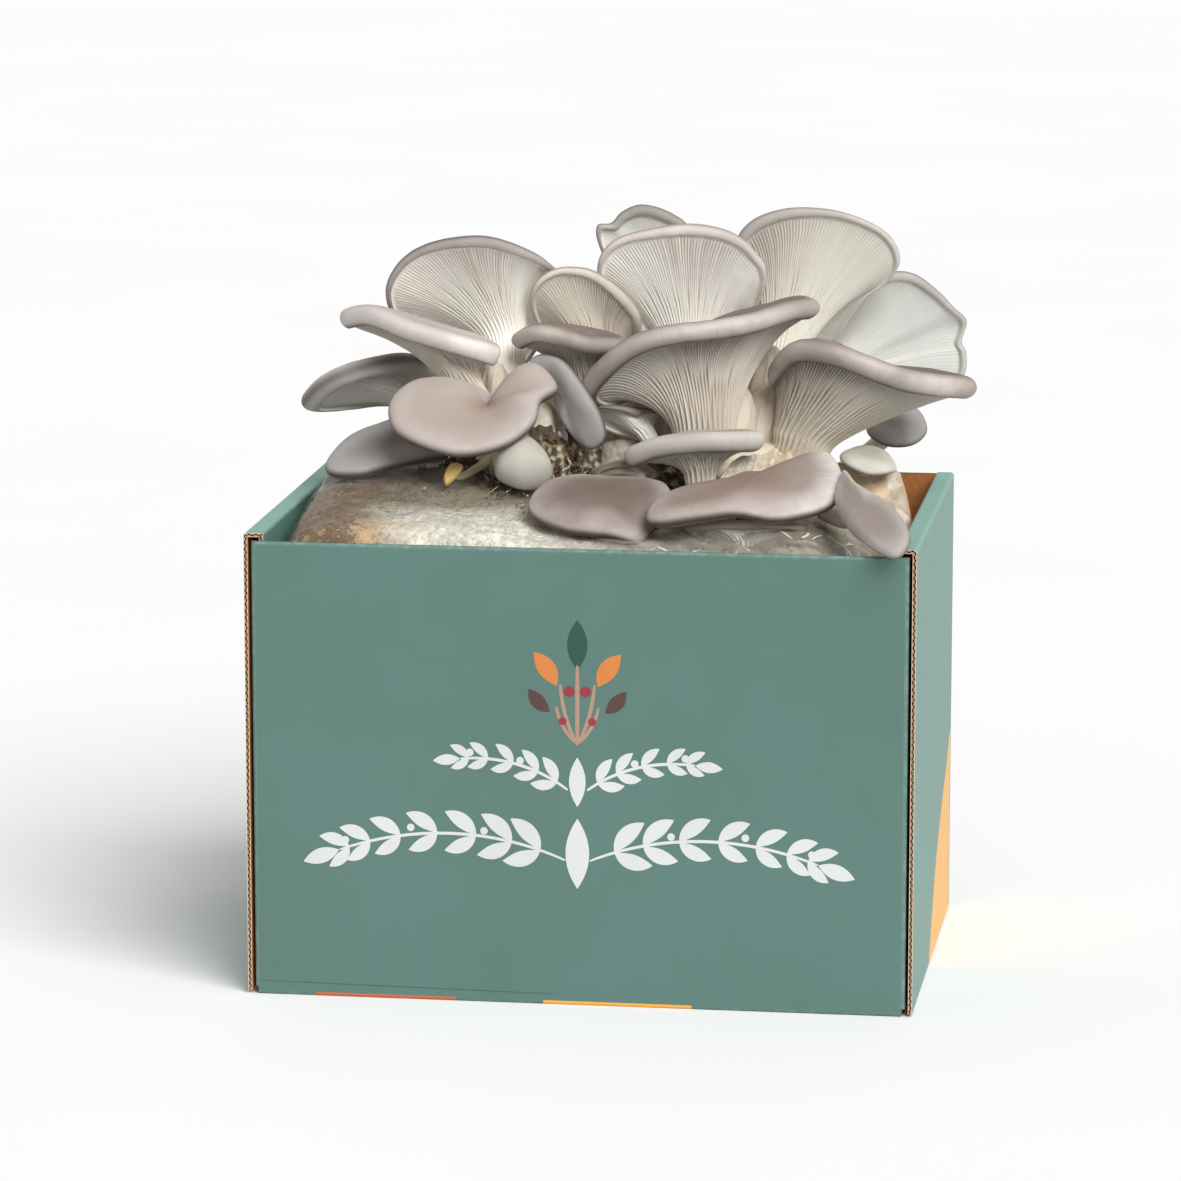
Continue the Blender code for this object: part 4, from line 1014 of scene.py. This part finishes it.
def boxGrid(counts):
    # the six faces of a lattice, their seams merged; coordinates from -1 to 1, and quads
    keys, shift, quads = [], 0, []
    for axis in range(3):
        others = [k for k in range(3) if k != axis]
        rows, columns = counts[others[0]] + 1, counts[others[1]] + 1
        i, j = np.meshgrid(np.arange(rows), np.arange(columns), indexing="ij")
        for side in (0, counts[axis]):
            key = np.zeros((rows * columns, 3), int)
            key[:, axis], key[:, others[0]], key[:, others[1]] = side, i.ravel(), j.ravel()
            faces = gridFaces(rows, columns) + shift
            quads.append(faces if (side > 0) == (axis != 1) else faces[:, ::-1])
            keys.append(key)
            shift += len(key)
    lattice, index = np.unique(np.concatenate(keys), axis=0, return_inverse=True)
    return lattice / np.array(counts) * 2 - 1, index.ravel()[np.concatenate(quads)]


def ballGrid(counts):
    # a ball of radius 1 from a lattice's six faces
    lattice, quads = boxGrid(counts)
    return unit(np.tan(lattice * math.pi / 4)), quads


def bell(x, y, place, spread):
    # exp of minus the squared distance from a place, counted in spreads
    return np.exp(-(((x - place[0]) / spread[0]) ** 2 + ((y - place[1]) / spread[1]) ** 2))


def cushion(lattice):
    # a box with rounded edges (superellipsoid) whose top swells to a low dome, mm
    p = np.sin(lattice * math.pi / 2)
    norm = (np.abs(p) ** block["squareness"]).sum(1) ** (1 / block["squareness"])
    p = p * (np.abs(p).max(1) / norm)[:, None]
    low, high = np.array(block["low"]), np.array(block["high"])
    points = (low + high) / 2 + p * (high - low) / 2
    x, y, upper = points[:, 0], points[:, 1], np.maximum(p[:, 2], 0)
    swell = block["dome"] * (1 - p[:, 0] ** 2) * (1 - p[:, 1] ** 2)
    points[:, 2] += upper * (swell - block["dent"] * bell(x, y, block["dentPlace"], block["dentSpread"]))
    # the bag stands higher on the left, where the block has swollen
    points[:, 2] += upper ** 2 * block["hump"] * bell(x, y, block["humpPlace"], block["humpSpread"])
    points[:, 2] -= upper ** 2 * block["sag"] * smooth(x, *block["sagFrom"])
    return points, unit(p * (1, 1, 1.5))


# mm off the cushion that block and film share, less sunk, and where the film is slack on the top
film = dict(off=0.9, folds=0.6, least=0.35, slack=1.8, sharp=3.4, slackPlace=(55, -72), slackSpread=(60, 30),
            slackFrom=(180, 194), stainFrom=(96, 122), sunk=0.3)


def filmLift(points):
    # how far the film stands off the block: low folds, and high sharp ones on the front right top
    folds = crumple(points * (1, 1.6, 1), 30, 5) + 0.5 * crumple(points * (0.6, 1.5, 1), 11, 6)
    slack = bell(points[:, 0], points[:, 1], film["slackPlace"], film["slackSpread"])
    slack = slack * smooth(points[:, 2], *film["slackFrom"])
    sharp = crumple(points * (1, 1.5, 1), 13, 7, 14)
    return film["off"] + film["folds"] * folds, slack * (film["slack"] + film["sharp"] * sharp)


blockLook = dict(pale=(150, 139, 118), cream=(244, 242, 228), tan=(96, 70, 38), amber=(196, 160, 104),
                 grey=(124, 119, 101), dark=(62, 45, 30))


def blockMaterial():
    # white threads over straw and bark: cloudy cream, grey and tan, amber along the low front edge
    material, tree = newMaterial("growingBlock")
    tint = tones(blockLook)
    where = place(tree, 1, 0.4, 1)
    bent = addNode(tree, "TexNoise", "Color", {"Scale": 60.0})
    shift = addNode(tree, "VectorMath", 0, {0: bent, "Scale": 0.03}, operation="SCALE")
    warped = addNode(tree, "VectorMath", 0, {0: where, 1: shift}, operation="ADD")
    broad = span(noise(warped, 24.0), 0.4, 0.6)
    middle = span(noise(warped, 44.0, 4.0), 0.38, 0.62)
    fine = span(noise(where, 420.0, 4.0, 0.7), 0.5, 0.66)
    threads = span(calc("ABSOLUTE", calc("SUBTRACT", noise(warped, 130.0), 0.5)), 0.03, 0.0)
    base = layered(mixed(broad, tint["grey"], tint["pale"]),
                   (tint["cream"], mask(tree, "cream"), span(middle, 0.0, 1.0, 0.95, 0.6)),
                   (tint["grey"], middle, 0.15),
                   (tint["tan"], mask(tree, "brown"), span(middle, 0.0, 1.0, 0.55, 0.9)),
                   (tint["amber"], mask(tree, "amber"), span(middle, 0.3, 0.7, 0.7, 0.05)),
                   (tint["cream"], threads, 0.18),
                   (tint["dark"], fine, span(broad, 0.0, 1.0, 0.4, 0.1),
                    span(mask(tree, "cream"), 0.0, 1.0, 1.0, 0.35)))
    slack = noise(place(tree, 0.6, 1.4, 1), 70.0, 4.0, 0.6)
    return paint(material, BaseColor=base, Roughness=0.5, CoatWeight=0.55, CoatRoughness=0.14,
                 Normal=bump(fine, 0.001, 0.5, bump(middle, 0.002, 0.4)), CoatNormal=bump(slack, 0.004, 0.6))


# the first three are linear
# line is the white of the painted glints
filmLook = dict(clear=(0.36, 0.32, 0.26), milky=(0.52, 0.48, 0.42), line=(0.85, 0.85, 0.83),
                stain=(176, 116, 62))


def filmMaterial():
    # thin clear film: almost nothing head on, milky on creases and where it is seen edge on, with painted
    # glints along its creases
    material, tree = newMaterial("clearFilm")
    edge = addNode(tree, "LayerWeight", "Facing", {"Blend": 0.25})
    streaks = span(noise(place(tree, 1, 2.2, 1), 60.0, 5.0, 0.6), 0.5, 0.72)
    milky = calc("ADD", times(streaks, 0.2), times(mask(tree, "crease"), 0.45))
    alpha = clamped(calc("ADD", times(edge, 0.08), calc("ADD", milky, 0.03)))
    # painted glints: short white lines on the crease cells where the film is loose, partly the film's own
    # whitening along its creases
    cells = addNode(tree, "TexVoronoi", "Distance", {"Scale": 75.0, "Vector": place(tree, 1, 0.7, 1)},
                    feature="DISTANCE_TO_EDGE")
    some = span(noise(place(tree), 70.0, 2.0), 0.52, 0.6)
    glintLines = times(span(cells, 0.035, 0.01), some, mask(tree, "loose"))
    base = layered(filmLook["clear"], (filmLook["milky"], streaks), (filmLook["line"], glintLines),
                   (tone(filmLook["stain"]), mask(tree, "stain")))
    return paint(material, Alpha=calc("MAXIMUM", alpha, times(glintLines, 0.8)), BaseColor=base,
                 Roughness=span(streaks, 0.0, 1.0, 0.12, 0.3), CoatWeight=0.6, CoatRoughness=0.06,
                 Normal=bump(noise(place(tree), 110.0), 0.0015, 0.35))


def makeBlock():
    # the cushion, pushed outwards by lumps of three sizes; browner on the left, creamy along the
    # front and amber in the front left corner
    lattice, quads = boxGrid((120, 84, 32))
    points, out = cushion(lattice)
    lumps = lumpy(points, 1, (0.9, 34), (0.5, 12), (0.25, 5))
    points = points + out * (lumps - block["sunk"])[:, None]
    x, y = points[:, :2].T
    left = smooth(-x + 6 * ripple(points, 22, 8), 64, 106) + 0.15 * smooth(y, -30, 10)
    cream = smooth(-y + 9 * ripple(points, 30, 7), 52, 70) * smooth(-x, -40, 30) * smooth(x, -104, -70)
    cream = np.maximum(cream, 0.5 * smooth(-y, 60, 80) * smooth(x, 0, 40))
    amber = smooth(-y + 7 * ripple(points, 16, 9), 70, 86) * smooth(-x + 10 * ripple(points, 12, 10), 52, 84)
    masks = dict(brown=np.clip(left, 0, 1), cream=cream, amber=amber)
    addPiece("mycelialBlock", points * mm, facingOut(points, [quads]), blockMaterial(),
             ["substrate_block"], masks)


def makeFilm():
    # the cushion again, pushed outwards by the film's lift and upwards where it is slack
    lattice, quads = boxGrid((132, 94, 34))
    points, out = cushion(lattice)
    lift, slack = filmLift(points)
    crease = smooth(lift + slack, 1.2, 2.6)
    loose = 0.25 + 0.75 * smooth(points[:, 0], -60, 10) * smooth(-points[:, 1], 20, 50)
    lift = np.maximum(lift, film["least"]) - film["sunk"]
    points = points + out * lift[:, None] + slack[:, None] * (0, 0, 1)
    addPiece("clearBag", points * mm, facingOut(points, [quads]), filmMaterial(), ["grow_bag"],
             dict(crease=crease, stain=0.6 * smooth(-points[:, 0], *film["stainFrom"]), loose=loose))


tuftLook = dict(light=(192, 178, 156), straw=(176, 154, 126), amber=(232, 186, 138), damp=(116, 78, 46),
                crease=(222, 212, 196))


def standingFilm():
    # crumpled film with straw behind it: beige, part clear, whiter on its creases, with painted shade in dark
    # brown at its lower right corner
    material, tree = newMaterial("crumpledFilm")
    tint = tones(tuftLook)
    patches = span(noise(place(tree), 45.0, 4.0, 0.6), 0.4, 0.62)
    crease = span(noise(place(tree, 1, 1.6, 0.5), 90.0), 0.52, 0.6)
    base = layered(tint["light"], (tint["straw"], patches), (tint["amber"], mask(tree, "stain")),
                   (tint["damp"], mask(tree, "damp")),
                   (tint["crease"], calc("MAXIMUM", crease, mask(tree, "crease")), 0.5))
    return paint(material, BaseColor=base, Alpha=span(patches, 0.0, 1.0, 0.9, 0.97),
                 Roughness=span(crease, 0.0, 1.0, 0.42, 0.3),
                 Normal=bump(noise(place(tree), 160.0, 4.0), 0.001, 0.4))


# four corners in the row frame, mm, from the lower left round; puff is how far it is crumpled
tufts = [
    dict(name="rightTuft", corners=[(94, -14, 8), (131, -16, 2), (125, 15, -12), (92, 17, -4)],
         rows=70, columns=80, puff=5, seed=31, stain=0.6),
    dict(name="middleTuft", corners=[(40, 0, 42), (88, 2, 34), (77, 22, 24), (52, 17, 34)],
         rows=60, columns=90, puff=1.1, seed=41, stain=0.0),
]


def makeTuft(tuft, material):
    # a standing fold of film: a bilinear patch between four corners, crumpled
    v, u = np.meshgrid(np.linspace(0, 1, tuft["rows"]), np.linspace(0, 1, tuft["columns"]), indexing="ij")
    a, b, c, d = np.array(tuft["corners"], float)
    lower = (1 - u)[..., None] * a + u[..., None] * b
    upper = (1 - u)[..., None] * d + u[..., None] * c
    grid = (1 - v)[..., None] * lower + v[..., None] * upper
    facing = unit(np.cross(b - a, d - a))
    puff, seed, stain = tuft["puff"], tuft["seed"], tuft["stain"]
    fold = crumple(grid, puff * 4.5, seed, 5) + 0.3 * crumple(grid, puff * 1.8, seed + 1, 6)
    ragged = 0.09 * ripple(grid * (1, 0, 1), 9, seed + 2) * v ** 2
    amber = stain * smooth(ripple(grid, 16, seed + 3), -0.3, 0.6)
    grid = grid + ragged[..., None] * (d - a) + (fold * puff * 0.4)[..., None] * facing
    points, faces = slab(*(leaning(grid + facing * side * 0.12) for side in (1, -1)))
    # the lower right corner gets painted shade in dark brown, next to the carton's wall
    masks = dict(crease=smooth(fold, 0.1, 1.0), stain=amber, damp=stain * smooth(u - v, 0.0, 0.7))
    masks = {key: np.tile(values.ravel(), 2) for key, values in masks.items()}
    addPiece(tuft["name"], points, [faces], material, [], masks)


def fleshMasks(spoke, reach, valley, warm):
    # the masks of a lump of flesh without a cap
    even = np.zeros(len(spoke))
    return dict(skin=even, reach=even + reach, valley=even + valley, warm=even + warm, spoke=spoke,
                inward=even + growth["inside"])


# centre and radii in the row frame, mm
clusterBases = [("left", (-37, 23, -10), (19, 26, 22)), ("middle", (7, 18, -24), (13, 20, 15)),
                ("right", (62, 8, -16), (40, 19, 31))]


def makeBase(name, centre, radii, material, seed):
    # a ball with lumps of three sizes along its radius
    ball, quads = ballGrid((44, 44, 44))
    scaled = ball * radii
    lumps = lumpy(scaled, seed, (0.9, 16), (0.6, 7), (0.25, 3))
    points = leaning(np.array(centre) + scaled + ball * (lumps - 0.3)[:, None])
    # valley puts painted shade into the hollows between the lumps
    masks = fleshMasks(scaled * (0.12, 0.03, 0.12), -0.4, 0.25 * smooth(-lumps, 0, 1.2), 0.5)
    node = name + "_cluster_base"
    addPiece(name + "Root", points, facingOut(points, [quads]), material, [node], masks)


# stems grown together between the big caps' own: centre and radii in the row frame, mm, and how
# far each leans aside for its height
fusedStems = [((53, 25, -6), (10, 26, 9), 0.1), ((62, 22, -16), (14, 30, 10), 0.28),
              ((44, 20, -18), (12, 22, 9), -0.1), ((-28, 34, -14), (9, 18, 9), 0.3),
              ((6, 30, -26), (9, 16, 8), 0.1), ((84, 26, -10), (9, 18, 9), 0.5),
              ((-9, 40, -22), (11, 16, 7), 0.0), ((-50, 46, -14), (7, 14, 6), 0.1),
              ((23, 26, -18), (9, 20, 7), 0.1), ((66, 50, -24), (10, 18, 8), 0.2),
              ((17, 37, -26), (10, 15, 6), 0.0), ((-22, 56, -26), (8, 16, 6), 0.1)]


def makeFusedStems(material):
    # bundles of lumpy, fibrous columns, leaning sideways as they rise
    ball, quads = ballGrid((16, 34, 16))
    bodies = []
    for centre, radii, lean in fusedStems:
        scaled = ball * radii
        fibre = 0.55 * ripple(scaled * (1, 0.12, 1), 3.2, 61) + 0.8 * ripple(scaled * (1, 0.5, 1), 11, 62)
        points = np.array(centre) + scaled + ball * (fibre[:, None] * (1, 0.4, 1))
        points[:, 0] += lean * scaled[:, 1]
        bodies.append((points, quads, scaled * (0.6, 0.03, 0.6)))
    points, faces = joined(bodies)
    points = leaning(points)
    masks = fleshMasks(np.concatenate([body[2] for body in bodies]), -0.3, 0.1, 0.3)
    addPiece("fusedStems", points, facingOut(points, [faces]), material, [], masks)


makeFusedStems(fleshes["grey"])
makeBlock()
makeFilm()
tuftFilm = standingFilm()
for tuft in tufts:
    makeTuft(tuft, tuftFilm)
for seed, (name, centre, radii) in enumerate(clusterBases, 51):
    makeBase(name, centre, radii, fleshes["dusk"], seed)
print("block, film and bases built")


# crumbs of substrate

crumbLook = dict(dark=(76, 63, 48), straw=(138, 120, 94), pale=(196, 188, 170))
# place on the block, breadth, depth (mm) and how many
crumbPiles = [(-20, 12, 16, 12, 420), (-62, 2, 13, 8, 160), (-30, -20, 22, 8, 160),
              (26, -28, 12, 10, 160), (96, 10, 14, 14, 160), (0, -40, 60, 14, 120)]
# centre and radii of each heap, row frame, mm
heaps = [((-13, 14, -24), (17, 19, 11)), ((-32, 15, 5), (15, 18, 12)), ((-58, 12, -6), (14, 7, 9)),
         ((22, 10, 10), (14, 8, 10))]
heapChips = 1500
crumbSize = dict(flat=(1, 0.7, 0.5), chip=(1.6, 0.7, 0.5), stick=(3.2, 0.45, 0.6), sticks=0.25, longest=5)


def bits(centres, sizes, seed):
    # little twenty-sided lumps: an icosahedron, stretched, turned and placed at every centre
    rng = np.random.default_rng(seed)
    g = (1 + 5 ** 0.5) / 2
    ball = unit(np.array([(-1, g, 0), (1, g, 0), (-1, -g, 0), (1, -g, 0), (0, -1, g), (0, 1, g), (0, -1, -g),
                          (0, 1, -g), (g, 0, -1), (g, 0, 1), (-g, 0, -1), (-g, 0, 1)]))
    sides = np.array([(0, 11, 5), (0, 5, 1), (0, 1, 7), (0, 7, 10), (0, 10, 11), (1, 5, 9), (5, 11, 4),
                      (11, 10, 2), (10, 7, 6), (7, 1, 8), (3, 9, 4), (3, 4, 2), (3, 2, 6), (3, 6, 8),
                      (3, 8, 9), (4, 9, 5), (2, 4, 11), (6, 2, 10), (8, 6, 7), (9, 8, 1)])
    count = len(centres)
    first = unit(rng.normal(size=(count, 3)))
    second = unit(np.cross(first, rng.normal(size=(count, 3))))
    axes = np.stack([first, second, np.cross(first, second)], 1)
    shape = ball * rng.uniform(0.75, 1.25, (count, 12, 1)) * sizes[:, None]
    points = np.einsum("nij,njk->nik", shape, axes) + centres[:, None]
    return points.reshape(-1, 3), (sides + 12 * np.arange(count)[:, None, None]).reshape(-1, 3)


def topOfBlock(x, y):
    # height of the dome over a place, mm
    (left, front, _), (right, back, top) = block["low"], block["high"]
    inside = ((1 - ((x - (left + right) / 2) / ((right - left) / 2)) ** 2)
              * (1 - ((y - (front + back) / 2) / ((back - front) / 2)) ** 2))
    return (top + block["dome"] * inside
            - block["dent"] * bell(x, y, block["dentPlace"], block["dentSpread"])
            + block["hump"] * bell(x, y, block["humpPlace"], block["humpSpread"])
            - block["sag"] * smooth(x, *block["sagFrom"]))


def crumbMaterial():
    # dark, straw or pale by each bit's own number, with dark specks
    material, tree = newMaterial("crumbs")
    kind = mask(tree, "kind")
    tint = tones(crumbLook)
    base = layered(tint["dark"], (tint["straw"], span(kind, 0.4, 0.6)), (tint["pale"], span(kind, 0.8, 0.9)),
                   (tint["dark"], noise(place(tree), 1800.0), 0.4))
    return paint(material, BaseColor=base, Roughness=0.8)


def makeCrumbs(material):
    # bits on top of the block, normally distributed round the piles' places, some of them sticks
    rng = np.random.default_rng(77)
    groups = []
    for x, y, wide, deep, count in crumbPiles:
        spots = rng.normal(size=(count, 2)) * (wide / 2, deep / 2) + (x, y)
        groups.append(np.column_stack([spots, topOfBlock(*spots.T) + rng.uniform(0.4, 1.6, count)]))
    centres = np.concatenate(groups)
    size = rng.lognormal(-0.1, 0.45, (len(centres), 1)) * crumbSize["flat"]
    size[rng.uniform(size=len(size)) < crumbSize["sticks"]] *= crumbSize["stick"]
    points, sides = bits(centres, np.minimum(size, crumbSize["longest"]), 78)
    kind = np.repeat(rng.uniform(0, 1, len(centres)), 12)
    addPiece("crumbs", points * mm, [sides], material, [], dict(kind=kind), flat=True)


def makeHeap(material):
    # loose dark substrate heaped between the clusters, with chips lying on its surface
    ball, quads = ballGrid((40, 28, 28))
    rng = np.random.default_rng(90)
    bodies = []
    for centre, radii in heaps:
        points = np.array(centre) + ball * radii
        rough = lumpy(points, 91, (1.3, 6), (0.8, 2.5))
        bodies.append((leaning(points + ball * rough[:, None]), quads))
    points, faces = joined(bodies)
    # white threads hold the lower part together
    threads = smooth(-np.tile(ball[:, 1], len(heaps)), -0.8, -0.3)
    kind = 0.2 + 0.3 * ripple(points / mm, 5, 93) + 0.65 * threads * (0.7 + ripple(points / mm, 4, 95))
    addPiece("looseHeap", points, facingOut(points, [faces]), material, [],
             dict(kind=kind))
    chosen = rng.choice(len(points), heapChips)
    size = rng.lognormal(-0.35, 0.5, (heapChips, 1)) * crumbSize["chip"]
    chips, sides = bits(points[chosen] / mm, size, 94)
    kind = np.repeat(rng.beta(0.5, 1.7, heapChips), 12)
    addPiece("heapChips", chips * mm, [sides], material, [], dict(kind=kind), flat=True)


crumbs = crumbMaterial()
makeCrumbs(crumbs)
makeHeap(crumbs)
print("crumbs scattered")


# camera, light and floor

camera = dict(place=(0.3274, -2.3509, 0.6104), lens=171.67, sensor=36)
light = dict(sun=3.2, softness=40, sunFrom=(0.45, -0.55, 0.7), sky=0.48, floor=(0.84, 0.84, 0.84),
             floorHalf=20)


def makeStage():
    # a camera as the picture was taken, one soft sun, an even sky and a wide pale floor
    scene = bpy.context.scene
    lens = bpy.data.cameras.new("camera")
    lens.lens, lens.sensor_width, lens.clip_end = camera["lens"], camera["sensor"], 100
    view = bpy.data.objects.new("camera", lens)
    view.location = camera["place"]
    view.rotation_euler = (math.radians(90 - leaningFrame["lean"]), 0, math.radians(leaningFrame["turn"]))
    sun = bpy.data.lights.new("sun", "SUN")
    sun.energy, sun.angle = light["sun"], math.radians(light["softness"])
    lamp = bpy.data.objects.new("sun", sun)
    lamp.rotation_euler = Vector(light["sunFrom"]).to_track_quat("Z", "Y").to_euler()
    sky = bpy.data.worlds.new("sky")
    sky.use_nodes = True
    sky.node_tree.nodes["Background"].inputs["Color"].default_value = (1, 1, 1, 1)
    sky.node_tree.nodes["Background"].inputs["Strength"].default_value = light["sky"]
    scene.world = sky
    scene.view_settings.view_transform = "Standard"
    material, tree = newMaterial("paleFloor")
    shade = span(noise(place(tree), 3.0, 2.0), 0.3, 0.7)
    paler, darker = light["floor"], tuple(v * 0.985 for v in light["floor"])
    mesh = bpy.data.meshes.new("floor")
    half = light["floorHalf"]
    corners = [(-half, -half, 0), (half, -half, 0), (half, half, 0), (-half, half, 0)]
    mesh.from_pydata(corners, [], [(0, 1, 2, 3)])
    mesh.materials.append(paint(material, BaseColor=mixed(shade, paler, darker), Roughness=0.9))
    floor = bpy.data.objects.new("floor", mesh)
    for item in (view, lamp, floor):
        scene.collection.objects.link(item)
    scene.camera = view


makeStage()
